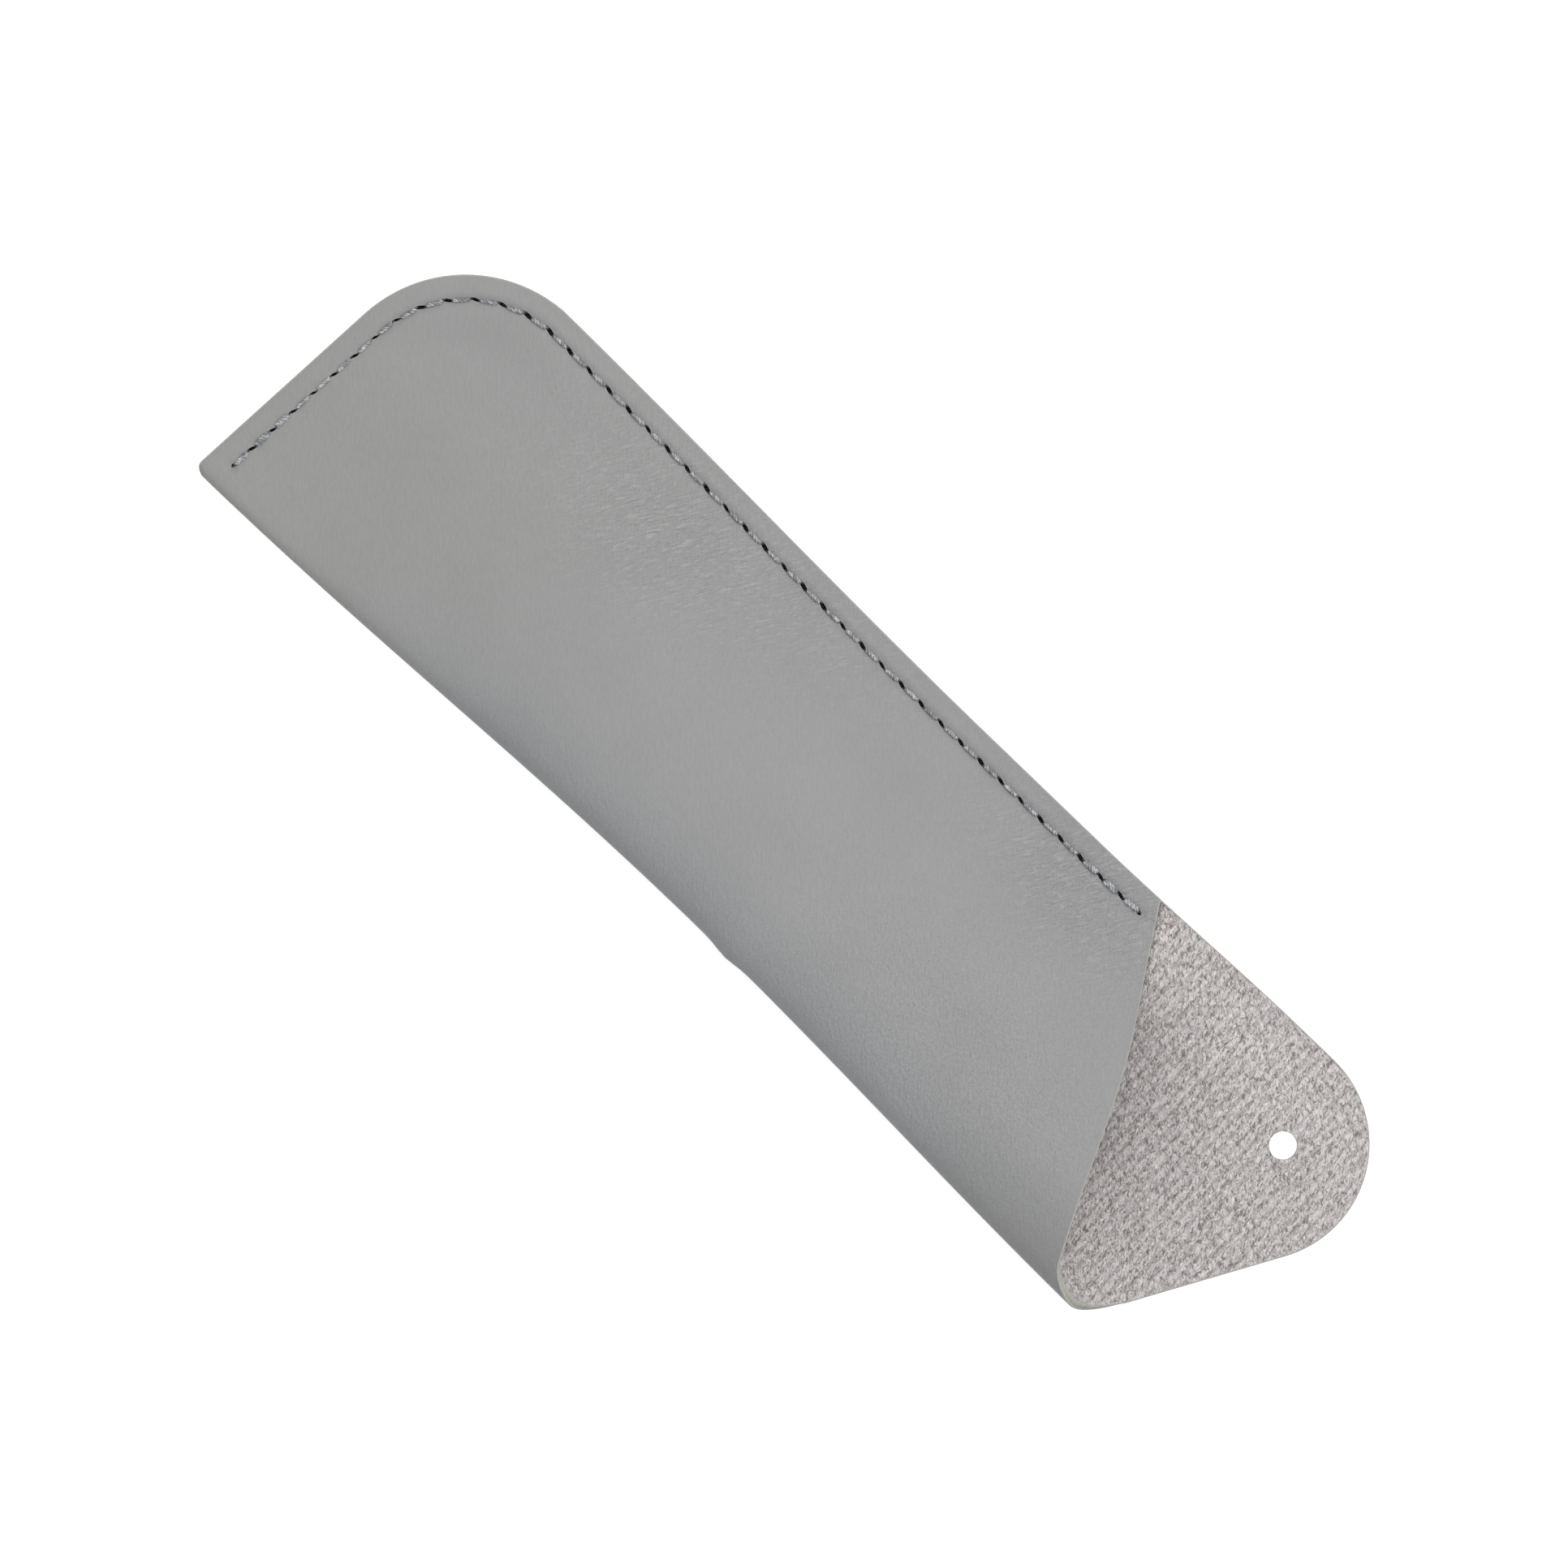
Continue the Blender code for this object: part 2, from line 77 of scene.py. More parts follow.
SPINE_DRIFT = 0.55 * MM
SPINE_BOW = 2.2 * MM
SPINE_BOW_POWER = 2.0
SPINE_BOW_SPAN_SHARES = (0.02, 0.94)
SPINE_OUT = 0.12 * MM
KINK_X = 93.5 * MM
KINK_LENGTH = 2.1 * MM
KINK_HEIGHT = 0.35 * MM
EDGE_BOW = 1.5 * MM
EDGE_BOW_SPAN_SHARES = (0.08, 0.56)
EDGE_RETURN = 0.75 * MM
EDGE_RETURN_SPAN_SHARES = (0.68, 0.88)

POCKET_HEIGHT = 7.4 * MM
SWELL_START = 5.0 * MM
SWELL_FULL = 72.0 * MM
CREST_FROM_SPINE = 15.0 * MM
ROLL_FULLNESS = 2.8
CREST_AT_END = 1.0 * MM
UNDER_ROLL_WIDTH = 4.0 * MM
UNDER_ROLL_AT_END = 0.9 * MM
SPINE_HEIGHT_SHARE = 0.5
FRONT_FALL_POWER = 1.5

SEAM_INSET = 3.2 * MM
SEAM_GAP = 0.3 * MM
SEAM_START_FROM_SPINE = 3.4 * MM
SEAM_END_FROM_MOUTH = 2.3 * MM
STITCH_PITCH = 3.6 * MM
STRAND_AHEAD = 0.24 * MM
STRAND_ASIDE = 0.15 * MM
LOOP_DEPTH = 0.3 * MM
NEEDLE_SLIT_LENGTH = 1.75 * MM
NEEDLE_SLIT_WIDTH = 0.5 * MM
SLIT_SPREAD = 0.3
CLOSED_END_SLIT_SHARE = 0.75
SLIT_SEED = 5
SLIT_SLANT = math.radians(15.0)
SLIT_SIDES = 10
END_SLIT_SHARE = 0.5
LINING_HOLE_WIDTH = 1.0 * MM
# The levels over the rim's underside between which the knit stays whole, closed round the threads
KNIT_LEFT = (0.55 * MM, 0.95 * MM)

RIM_LIFT = 0.65 * MM
RIM_LIFT_MARGIN = 1.0 * MM
RIM_LIFT_RUN = 7.0 * MM
RIM_TOP = RIM_LIFT + 2.0 * SHEET + SEAM_GAP
RIM_MIDDLE = 0.5 * (RIM_LIFT + RIM_TOP)

# How finely the sheets are drawn
PANEL_STEPS = 34
CORNER_STEPS = 24
ROLL_STEPS = 38
SLEEVE_ROWS = 90
FLAP_ROWS = 46
FLAP_ROWS_SHARE = 0.74
SECTION_SAMPLES = 2400
RUN_SAMPLES = 40
STATION_NUDGE = 0.001
PLACE_NUDGE = 0.05 * MM
SOLVER_STEPS = 44
SEAM_SAMPLES = 600
HANG_HOLE_SIDES = 48
CUT_OVERRUN = 1.0 * MM

# The cut edges, as (depth from the lining's face, inset from the outline)
SKIN_RIM = ((LINING_THICKNESS, 0.0), (1.06 * MM, 0.0), (1.16 * MM, 0.05 * MM), (SHEET, 0.16 * MM))
LINING_RIM = ((0.0, 0.18 * MM), (0.05 * MM, 0.06 * MM), (0.2 * MM, 0.0), (LINING_THICKNESS, 0.0))
RIM_EASE = 0.7 * MM


def smooth(value):
    """A step from 0 to 1 that starts and ends level."""
    t = np.clip(value, 0.0, 1.0)
    return t * t * (3.0 - 2.0 * t)


def mix(a, b, t):
    return a + (b - a) * t


def bell(value, centre, width):
    return np.exp(-(((value - centre) / width) ** 2))


def span(x, shares):
    start, end = (share * OVERALL_LENGTH for share in shares)
    return (x - start) / (end - start)


def unit(vectors, least=1e-15):
    """The vectors at length 1. `least` keeps one that has no length from a division by zero."""
    return vectors / (np.linalg.norm(vectors, axis=-1)[..., None] + least)


def lengths_along(route):
    """The length of a route up to each of its points."""
    return np.concatenate([[0.0], np.cumsum(np.linalg.norm(np.diff(route, axis=0), axis=1))])


def places_along(lengths, marks, route):
    """The places at given lengths along a route, whose points lie at the marks."""
    return np.stack([np.interp(lengths, marks, column) for column in route.T], axis=-1)


# The outline in plan, by the part's rules


def spine_y(x):
    """The outside of the spine fold, with the small bump that the photograph shows near its middle."""
    t = np.clip(span(x, SPINE_BOW_SPAN_SHARES), 0.0, 1.0)
    bow = SPINE_BOW * np.sin(math.pi * t) ** SPINE_BOW_POWER
    kink = KINK_HEIGHT * bell(x, KINK_X, KINK_LENGTH)
    return SPINE_DRIFT * x / OVERALL_LENGTH + bow - SPINE_OUT - kink


def edge_y(x):
    bow = EDGE_BOW * smooth(span(x, EDGE_BOW_SPAN_SHARES))
    return OVERALL_WIDTH - bow + EDGE_RETURN * smooth(span(x, EDGE_RETURN_SPAN_SHARES))


CORNER_Y = OVERALL_WIDTH - END_CORNER_RADIUS
CORNER_X = END_CORNER_RADIUS / math.cos(END_SKEW) + math.tan(END_SKEW) * CORNER_Y
TIP_X = OVERALL_LENGTH - FLAP_TIP_RADIUS
TIP_Y = float(edge_y(TIP_X)) - FLAP_TIP_RADIUS
CUT_SLOPE = 1.0 / math.tan(CUT_ANGLE)
HANG_HOLE_X = OVERALL_LENGTH - HANG_HOLE_FROM_TIP
HANG_HOLE_Y = float(edge_y(HANG_HOLE_X)) - HANG_HOLE_FROM_EDGE


def end_x(y):
    """The closed end: a skewed straight cut, rounded a little at the spine and fully at the seam."""
    short = np.clip(SPINE_CORNER_RADIUS - y, 0.0, SPINE_CORNER_RADIUS)
    straight = math.tan(END_SKEW) * y + SPINE_CORNER_RADIUS - np.sqrt(SPINE_CORNER_RADIUS**2 - short**2)
    rise = np.clip(y - CORNER_Y, 0.0, END_CORNER_RADIUS)
    corner = CORNER_X - np.sqrt(END_CORNER_RADIUS**2 - rise**2)
    return np.where(y < CORNER_Y + END_CORNER_RADIUS * math.sin(END_SKEW), straight, corner)


def flap_cut_x(y):
    return TIP_X + (FLAP_TIP_RADIUS + math.cos(CUT_ANGLE) * (y - TIP_Y)) / math.sin(CUT_ANGLE)


def flap_end_x(y):
    """The free outline of the flap: its straight cut, then its round tip."""
    rise = np.clip(y - TIP_Y, -FLAP_TIP_RADIUS, FLAP_TIP_RADIUS)
    tip = TIP_X + np.sqrt(FLAP_TIP_RADIUS**2 - rise**2)
    return np.where(y < TIP_Y - FLAP_TIP_RADIUS * math.cos(CUT_ANGLE), flap_cut_x(y), tip)


def seam_y(x):
    radius = END_CORNER_RADIUS - SEAM_INSET
    run = np.clip(CORNER_X - x, 0.0, radius)
    corner = CORNER_Y + np.sqrt(radius**2 - run**2)
    return np.where(x > CORNER_X, edge_y(x) - SEAM_INSET, corner)


# The section: stations run from the front's sewn edge at 0 over the crest of the swell, the spine's
# outermost line and the foot of the roll to the back's sewn edge

CREST, SPINE, FOOT, BACK_EDGE = 1.0, 2.0, 3.0, 4.0


def section(x, station):
    """The place of the lining's face: y, and the height over the back's."""
    full = smooth((x - SWELL_START) / (SWELL_FULL - SWELL_START))
    gap = mix(SEAM_GAP, POCKET_HEIGHT, full)
    spine = spine_y(x) + SHEET
    crest = spine + mix(CREST_AT_END, CREST_FROM_SPINE, full)
    under = mix(UNDER_ROLL_AT_END, UNDER_ROLL_WIDTH, full)
    edge = edge_y(x)
    power = 2.0 / ROLL_FULLNESS
    front_y = mix(edge, crest, station)
    reach = np.clip((front_y - crest) / (seam_y(x) - crest), 0.0, 1.0)
    front_height = mix(SEAM_GAP, gap, (1.0 - reach**2) ** FRONT_FALL_POWER)
    upper = RIGHT_ANGLE * np.clip(SPINE - station, 0.0, 1.0)
    upper_y = mix(crest, spine, np.cos(upper) ** power)
    upper_height = mix(SPINE_HEIGHT_SHARE * gap, gap, np.sin(upper) ** power)
    lower = RIGHT_ANGLE * np.clip(station - SPINE, 0.0, 1.0)
    lower_y = spine + under * (1.0 - np.cos(lower))
    lower_height = SPINE_HEIGHT_SHARE * gap * (1.0 - np.sin(lower))
    back_y = mix(spine + under, edge, station - FOOT)
    which = [station < CREST, station < SPINE, station < FOOT]
    y = np.select(which, [front_y, upper_y, lower_y], back_y)
    return y, np.select(which, [front_height, upper_height, lower_height], 0.0)


def section_runs(x, stations):
    """Lengths of the outer face at x from the spine's outermost line, minus on the front."""
    dense = np.linspace(0.0, BACK_EDGE, SECTION_SAMPLES)
    points = np.stack(section(np.full_like(dense, x), dense), axis=1)
    along = unit(np.gradient(points, axis=0), 1e-12)
    marks = lengths_along(points + SHEET * np.stack([along[:, 1], -along[:, 0]], axis=1))
    return np.interp(stations, dense, marks) - np.interp(SPINE, dense, marks)


def roll_stations():
    """Stations evenly spaced round the spine between the crest and the foot of the roll."""
    dense = np.linspace(CREST, FOOT, SECTION_SAMPLES)
    marks = lengths_along(np.stack(section(np.full_like(dense, SWELL_FULL), dense), axis=1))
    return np.interp(np.linspace(0.0, marks[-1], ROLL_STEPS + 1), marks, dense)


def panel_stations():
    """Shares from a panel's sewn edge at 0, close enough there to draw the round corners."""
    corner_share = END_CORNER_RADIUS / (OVERALL_WIDTH - SHEET - CREST_AT_END)
    turns = np.linspace(0.0, RIGHT_ANGLE, CORNER_STEPS + 1)
    corner = corner_share * (1.0 - np.cos(turns))
    return np.concatenate([corner, np.linspace(corner[-1], 1.0, PANEL_STEPS + 1)[1:]])


STATIONS = np.concatenate([panel_stations(), roll_stations()[1:-1], BACK_EDGE - panel_stations()[::-1]])
MOUTH_X = flap_cut_x(0.0)
MOUTH_RUNS = section_runs(MOUTH_X, STATIONS)
CUT_AT_SPINE = flap_cut_x(float(edge_y(MOUTH_X))) - CUT_SLOPE * MOUTH_RUNS[-1]
MOUTH_CORNER_X = CUT_AT_SPINE + CUT_SLOPE * MOUTH_RUNS[0]
MOUTH_CORNER_Y = float(edge_y(MOUTH_CORNER_X))
SEAM_END_X = MOUTH_CORNER_X + CUT_SLOPE * SEAM_INSET - SEAM_END_FROM_MOUTH


def past_mouth(x, y):
    """How far a place in plan lies past the mouth's line, square to it."""
    return (x - MOUTH_CORNER_X + CUT_SLOPE * (y - MOUTH_CORNER_Y)) * math.sin(CUT_ANGLE)


def lift(x, y):
    """How far the sheet stands off the table along the seam, so that the stitches under it do too."""
    from_end = x - end_x(y) - SEAM_INSET - RIM_LIFT_MARGIN
    at_end = 1.0 - smooth(from_end / RIM_LIFT_RUN)
    along = smooth((y - seam_y(x) + RIM_LIFT_MARGIN) / RIM_LIFT_RUN + 1.0)
    along = along * (1.0 - smooth((x - SEAM_END_X - RIM_LIFT_MARGIN) / RIM_LIFT_RUN))
    return RIM_LIFT * (1.0 - (1.0 - at_end) * (1.0 - along))


def surface(x, station):
    """The lining's face as it stands on the table, in sheet coordinates."""
    y, height = section(x, station)
    return np.stack([x, y, SHEET + height + lift(x, y)], axis=-1)


def outer_y(x, station):
    """The y of the sheet's outer face, which round the spine is outside the lining's face."""
    ahead = section(x, station + STATION_NUDGE)
    behind = section(x, station - STATION_NUDGE)
    along, rise = ahead[0] - behind[0], ahead[1] - behind[1]
    return section(x, station)[0] + SHEET * rise / np.hypot(along, rise)


def meet(outline, start, end):
    """The x on each station's line at which it meets an outline x = outline(y)."""
    low = np.full(len(STATIONS), start)
    high = np.full(len(STATIONS), end)
    for _ in range(SOLVER_STEPS):
        middle = 0.5 * (low + high)
        inside = middle < outline(outer_y(middle, STATIONS))
        low = np.where(inside, middle, low)
        high = np.where(inside, high, middle)
    return low


def to_origin(points):
    """From sheet coordinates to the part's own, whose origin is under the middle of the pouch."""
    return np.asarray(points) - (0.5 * OVERALL_LENGTH, 0.5 * OVERALL_WIDTH, 0.0)


# The blank as one grid: a line for each station, from the closed end to the mouth or the flap's outline


def hollow(run):
    """How far the mouth's cut is drawn in: on the front, whose run is minus, and a little at the spine."""
    rise = smooth(-run / MOUTH_HOLLOW_RISE)
    front = MOUTH_HOLLOW * rise * (1.0 - smooth((-run - MOUTH_HOLLOW_RISE) / MOUTH_HOLLOW_REACH))
    return front + SPINE_EASE * bell(run, 0.0, SPINE_EASE_REACH)


def runs_along(x):
    """The run of each place of the grid, which shrinks where the pocket is flatter than at its mouth."""
    samples = np.linspace(0.0, MOUTH_X, RUN_SAMPLES)
    table = np.stack([section_runs(sample, STATIONS) for sample in samples])
    return np.stack([np.interp(line, samples, column) for line, column in zip(x, table.T)])


def surface_normals(x, station):
    """Unit normals that point out of the pocket."""
    across = surface(x, station + STATION_NUDGE) - surface(x, station - STATION_NUDGE)
    along = surface(x + PLACE_NUDGE, station) - surface(x - PLACE_NUDGE, station)
    return unit(np.cross(across, along))


def blank_grid():
    start = meet(end_x, -OVERALL_WIDTH, CORNER_X)
    cut = CUT_AT_SPINE + CUT_SLOPE * MOUTH_RUNS - hollow(MOUTH_RUNS)
    end = np.where(STATIONS < FOOT, cut, meet(flap_end_x, CORNER_X, OVERALL_LENGTH + OVERALL_WIDTH))
    sleeve = np.linspace(0.0, FLAP_ROWS_SHARE, SLEEVE_ROWS, endpoint=False)
    shares = np.concatenate([sleeve, np.linspace(FLAP_ROWS_SHARE, 1.0, FLAP_ROWS + 1)])
    x = mix(start[:, None], end[:, None], shares)
    station = np.broadcast_to(STATIONS[:, None], x.shape)
    return {
        "point": surface(x, station),
        "normal": surface_normals(x, station),
        "run": runs_along(x),
        "area": float(np.trapz(end - start, MOUTH_RUNS)),
    }


def grid_loop(lines, rows):
    """The grid's outline, each place once, as an index of lines and one of rows."""
    index = np.arange(lines * rows).reshape(lines, rows)
    loop = np.concatenate([index[0], index[1:, -1], index[-1, -2::-1], index[-2:0:-1, 0]])
    return np.unravel_index(loop, (lines, rows))


def outline_directions(grid, loop):
    """For each place on the outline, the direction in the sheet that points off it."""
    points = grid["point"]
    lines, rows = grid["run"].shape
    here = points[loop]
    tangent = np.roll(here, -1, axis=0) - np.roll(here, 1, axis=0)
    away = unit(np.cross(tangent, grid["normal"][loop]))
    inner = points[np.clip(loop[0], 1, lines - 2), np.clip(loop[1], 1, rows - 2)]
    sign = np.where(np.einsum("ij,ij->i", away, here - inner) < 0.0, -1.0, 1.0)
    return away * sign[:, None]


def rim_points(grid, loop, away, depth, inset):
    """The outline's places at a depth in the sheet, drawn in by `inset`."""
    return grid["point"][loop] + grid["normal"][loop] * depth - away * inset


def face_points(grid, loop, away, depth, inset):
    """One face of a layer, drawn in at the outline by `inset`, easing off inside it."""
    points = grid["point"] + grid["normal"] * depth
    from_edge = edge_y(grid["point"][..., 0]) - grid["point"][..., 1]
    points[..., 1] -= inset * np.clip(1.0 - from_edge / RIM_EASE, 0.0, 1.0)
    points[loop] = rim_points(grid, loop, away, depth, inset)
    return points.reshape(-1, 3)


def layer_faces(lines, rows, loop, rings):
    """A layer's faces, inner ones first, then outer ones and the rim's, and the number where these start."""
    count = lines * rows
    index = np.arange(count).reshape(lines, rows)
    corners = [index[:-1, :-1], index[1:, :-1], index[1:, 1:], index[:-1, 1:]]
    quads = np.stack(corners, axis=-1).reshape(-1, 4)
    edge = index[loop]
    ring_index = [2 * count + step * len(edge) + np.arange(len(edge)) for step in range(rings)]
    chain = [edge, *ring_index, edge + count]
    rim = []
    for low, high in zip(chain, chain[1:]):
        rim.append(np.stack([low, np.roll(low, -1), np.roll(high, -1), high], axis=1))
    return np.concatenate([quads[:, ::-1], quads + count] + rim), 2 * len(quads)


# Meshes and their attributes

# Shares between the inner face at 0 and the outer face at 1 that count as on the one or the other
ON_INNER = 0.1
ON_OUTER = 0.9


def write_layer(layer, values):
    field = "vector" if values.ndim == 2 else "value"
    layer.data.foreach_set(field, np.ascontiguousarray(values, dtype=np.float32).ravel())


def store(mesh, name, values):
    """Gives each vertex a number or a vector."""
    kind = "FLOAT_VECTOR" if values.ndim == 2 else "FLOAT"
    write_layer(mesh.attributes.new(name, kind, "POINT"), values)


def read(mesh, name):
    layer = mesh.attributes[name]
    size = 3 if layer.data_type == "FLOAT_VECTOR" else 1
    values = np.empty(len(layer.data) * size, dtype=np.float32)
    layer.data.foreach_get("vector" if size == 3 else "value", values)
    values = values.astype(float)
    return values.reshape(-1, 3) if size == 3 else values


def add_object(name, data):
    made = bpy.data.objects.new(name, data)
    bpy.context.scene.collection.objects.link(made)
    return made


def edit_mesh(mesh, change):
    """Runs a change of the geometry on a mesh."""
    bm = bmesh.new()
    bm.from_mesh(mesh)
    change(bm)
    bm.to_mesh(mesh)
    bm.free()


def face_outwards(bm):
    bmesh.ops.recalc_face_normals(bm, faces=bm.faces)


def layer_object(name, grid, profile):
    """A closed layer of the sheet. Its profile starts at its inner face and ends at its outer one.

    Vertices carry sheet coordinates in mm (flat_mm), the way out (away), whether they are on the outline
    (rim) and which face they are on (side). The rim's faces have the second material slot.
    """
    lines, rows = grid["run"].shape
    loop = grid_loop(lines, rows)
    away = outline_directions(grid, loop)
    points = [face_points(grid, loop, away, *place) for place in (profile[0], profile[-1])]
    rings = [rim_points(grid, loop, away, *place) for place in profile[1:-1]]
    faces, rim_start = layer_faces(lines, rows, loop, len(rings))
    mesh = bpy.data.meshes.new(name)
    mesh.from_pydata(to_origin(np.concatenate(points + rings)).tolist(), [], faces.tolist())

    def on_layer(values):
        """Values of the grid's places, for each vertex of the layer."""
        plain = values.reshape(lines * rows, *values.shape[2:])
        return np.concatenate([plain, plain] + [values[loop]] * len(rings))

    flat = np.stack([grid["point"][..., 0], grid["run"], np.zeros((lines, rows))], axis=-1) / MM
    store(mesh, "flat_mm", on_layer(flat))
    store(mesh, "away", on_layer(grid["normal"]))
    counts = (lines * rows, lines * rows, len(rings) * len(away))
    store(mesh, "side", np.repeat((0.0, 1.0, 0.5), counts))
    on_rim = np.zeros((lines, rows))
    on_rim[loop] = 1.0
    store(mesh, "rim", on_layer(on_rim))
    slots = np.arange(len(faces)) >= rim_start
    mesh.polygons.foreach_set("material_index", slots.astype(np.int32))
    edit_mesh(mesh, face_outwards)
    return add_object(name, mesh)


def mesh_points(mesh):
    return read(mesh, "position")


def set_points(mesh, points):
    write_layer(mesh.attributes["position"], points)
    mesh.update()


def refine(mesh, wanted, cuts):
    """Splits each edge whose two ends are wanted, so that the faces there become fine grids."""

    def split(bm):
        edges = [edge for edge in bm.edges if all(wanted[vert.index] for vert in edge.verts)]
        bmesh.ops.subdivide_edges(bm, edges=edges, cuts=cuts, use_grid_fill=True)

    edit_mesh(mesh, split)


# The seam


def seam_line():
    """Places along the seam in plan, from the spine round the corner to the mouth, and their lengths."""
    radius = END_CORNER_RADIUS - SEAM_INSET
    off_end = SEAM_INSET / math.cos(END_SKEW)
    first = np.array([[math.tan(END_SKEW) * SEAM_START_FROM_SPINE + off_end, SEAM_START_FROM_SPINE]])
    turns = np.linspace(END_SKEW, RIGHT_ANGLE, SEAM_SAMPLES)
    corner = np.stack([CORNER_X - radius * np.cos(turns), CORNER_Y + radius * np.sin(turns)], axis=1)
    x = np.linspace(CORNER_X, SEAM_END_X, SEAM_SAMPLES)[1:]
    places = np.concatenate([first, corner, np.stack([x, seam_y(x)], axis=1)])
    return places, lengths_along(places)


SEAM_PLACES, SEAM_MARKS = seam_line()
STITCH_COUNT = round(SEAM_MARKS[-1] / STITCH_PITCH)
STITCH_LENGTH = SEAM_MARKS[-1] / STITCH_COUNT


def seam_at(mark):
    """The place and the direction of the seam at lengths along it."""
    steps = (-PLACE_NUDGE, 0.0, PLACE_NUDGE)
    behind, place, ahead = (places_along(mark + step, SEAM_MARKS, SEAM_PLACES) for step in steps)
    return place, unit(ahead - behind)


HOLE_PLACES, HOLE_ALONG = seam_at(np.arange(STITCH_COUNT + 1) * STITCH_LENGTH)


def nearest(places, targets, block=4000):
    """The distance in plan from each place to the nearest target."""
    result = np.empty(len(places))
    for start in range(0, len(places), block):
        part = places[start : start + block]
        gaps = np.linalg.norm(part[:, None, :] - targets[None, :, :], axis=2)
        result[start : start + block] = gaps.min(axis=1)
    return result


SEAM_SKIP = 3
SEAM_REFINE_WIDTH = 1.7 * MM
SEAM_REFINE_CUTS = 3
CHANNEL_DEPTH = 0.13 * MM
CHANNEL_WIDTH = 0.55 * MM
PUCKER_DEPTH = 0.2 * MM
PUCKER_WIDTH = 0.62 * MM
BANK_HEIGHT = 0.05 * MM
BANK_FROM_SEAM = 1.15 * MM


def plan_of(points):
    """Plan coordinates of mesh points, from the closed end and the spine."""
    return points[:, :2] + 0.5 * np.array([OVERALL_LENGTH, OVERALL_WIDTH])


def press_seam(mesh):
    """Draws the skin in under the thread and at each needle hole, on the front and on the back."""
    plan = plan_of(mesh_points(mesh))
    seam = SEAM_PLACES[::SEAM_SKIP]
    close = (nearest(plan, seam) < SEAM_REFINE_WIDTH) & (read(mesh, "side") > ON_OUTER)
    refine(mesh, close, SEAM_REFINE_CUTS)
    points = mesh_points(mesh)
    plan = plan_of(points)
    off = nearest(plan, seam)
    holes = nearest(plan, HOLE_PLACES)
    depth = CHANNEL_DEPTH * bell(off, 0.0, CHANNEL_WIDTH) + PUCKER_DEPTH * bell(holes, 0.0, PUCKER_WIDTH)
    depth -= BANK_HEIGHT * bell(off, BANK_FROM_SEAM, CHANNEL_WIDTH)
    outer = smooth((read(mesh, "side") - 0.5) / (ON_OUTER - 0.5))
    set_points(mesh, points - read(mesh, "away") * (depth * outer)[:, None])


# Cutters

# A cut's new vertices have less than this of the mark that all had before it
OLDER = 0.999


def cutter(name, build_shape):
    mesh = bpy.data.meshes.new(name)
    edit_mesh(mesh, build_shape)
    edit_mesh(mesh, face_outwards)
    return add_object(name, mesh)


def prism(bm, sides, place, turn, half_sizes, depth):
    """An upright prism from the place of its middle, its turn and its half sizes across."""
    middle = Matrix.Translation(to_origin(place))
    matrix = middle @ Matrix.Rotation(turn, 4, "Z") @ Matrix.Diagonal((*half_sizes, 1.0, 1.0))
    bmesh.ops.create_cone(
        bm, cap_ends=True, segments=sides, radius1=1.0, radius2=1.0, depth=depth, matrix=matrix
    )


def oval_row(length, width, slant, bottom, top):
    """An oval prism at each needle hole, turned by `slant` from the seam; no two are quite alike."""

    def shape(bm):
        chance = np.random.default_rng(SLIT_SEED).random(STITCH_COUNT + 1)
        for number, (place, along) in enumerate(zip(HOLE_PLACES, HOLE_ALONG)):
            inward = (number == 0) - (number == STITCH_COUNT)
            place = place + inward * (1.0 - END_SLIT_SHARE) * 0.5 * length * along
            turn = math.atan2(along[1], along[0]) + slant
            reach = END_SLIT_SHARE * length if inward else length
            size = mix(CLOSED_END_SLIT_SHARE, 1.0, along[0]) * (1.0 + SLIT_SPREAD * (chance[number] - 0.5))
            halves = (0.5 * reach * size, 0.5 * width * size)
            prism(bm, SLIT_SIDES, (*place, 0.5 * (bottom + top)), turn, halves, top - bottom)

    return shape


def hang_hole(bm):
    place = (HANG_HOLE_X, HANG_HOLE_Y, 0.5 * SHEET)
    halves = (0.5 * HANG_HOLE_DIAMETER, 0.5 * HANG_HOLE_DIAMETER)
    prism(bm, HANG_HOLE_SIDES, place, 0.0, halves, SHEET + 2.0 * CUT_OVERRUN)


def hole_cutters(size, slant, low, high):
    """Cutters and their wall materials: needle holes up to `low` and down to `high`, and the punched hole."""
    top = cutter("top_holes", oval_row(*size, -slant, high, RIM_TOP + CUT_OVERRUN))
    under = cutter("under_holes", oval_row(*size, slant, -CUT_OVERRUN, low))
    # Slot 2 holds the painted slit shade for the needle holes' walls
    return [(top, 2), (under, 2), (cutter("punch", hang_hole), 1)]


def fill_attributes(mesh):
    """Gives the vertices that a cut has made the attributes of the nearest older one."""
    known = read(mesh, "known") > OLDER
    points = mesh_points(mesh)
    tree = KDTree(int(known.sum()))
    for index in np.flatnonzero(known):
        tree.insert(points[index], int(index))
    tree.balance()
    new = np.flatnonzero(~known)
    near = np.array([tree.find(points[index])[1] for index in new], dtype=int)
    for name in ("flat_mm", "away", "side", "rim", "grain", "wrinkled", "knit_relief", "knit_tone", "painted_knit_shading"):
        if name not in mesh.attributes:
            continue
        values = read(mesh, name)
        values[new] = values[near]
        if name == "flat_mm":
            step = (points[new] - points[near]) / MM
            values[new, 0] += step[:, 0]
            values[new, 1] += step[:, 1] * np.where(values[near, 1] < 0.0, -1.0, 1.0)
        write_layer(mesh.attributes[name], values)


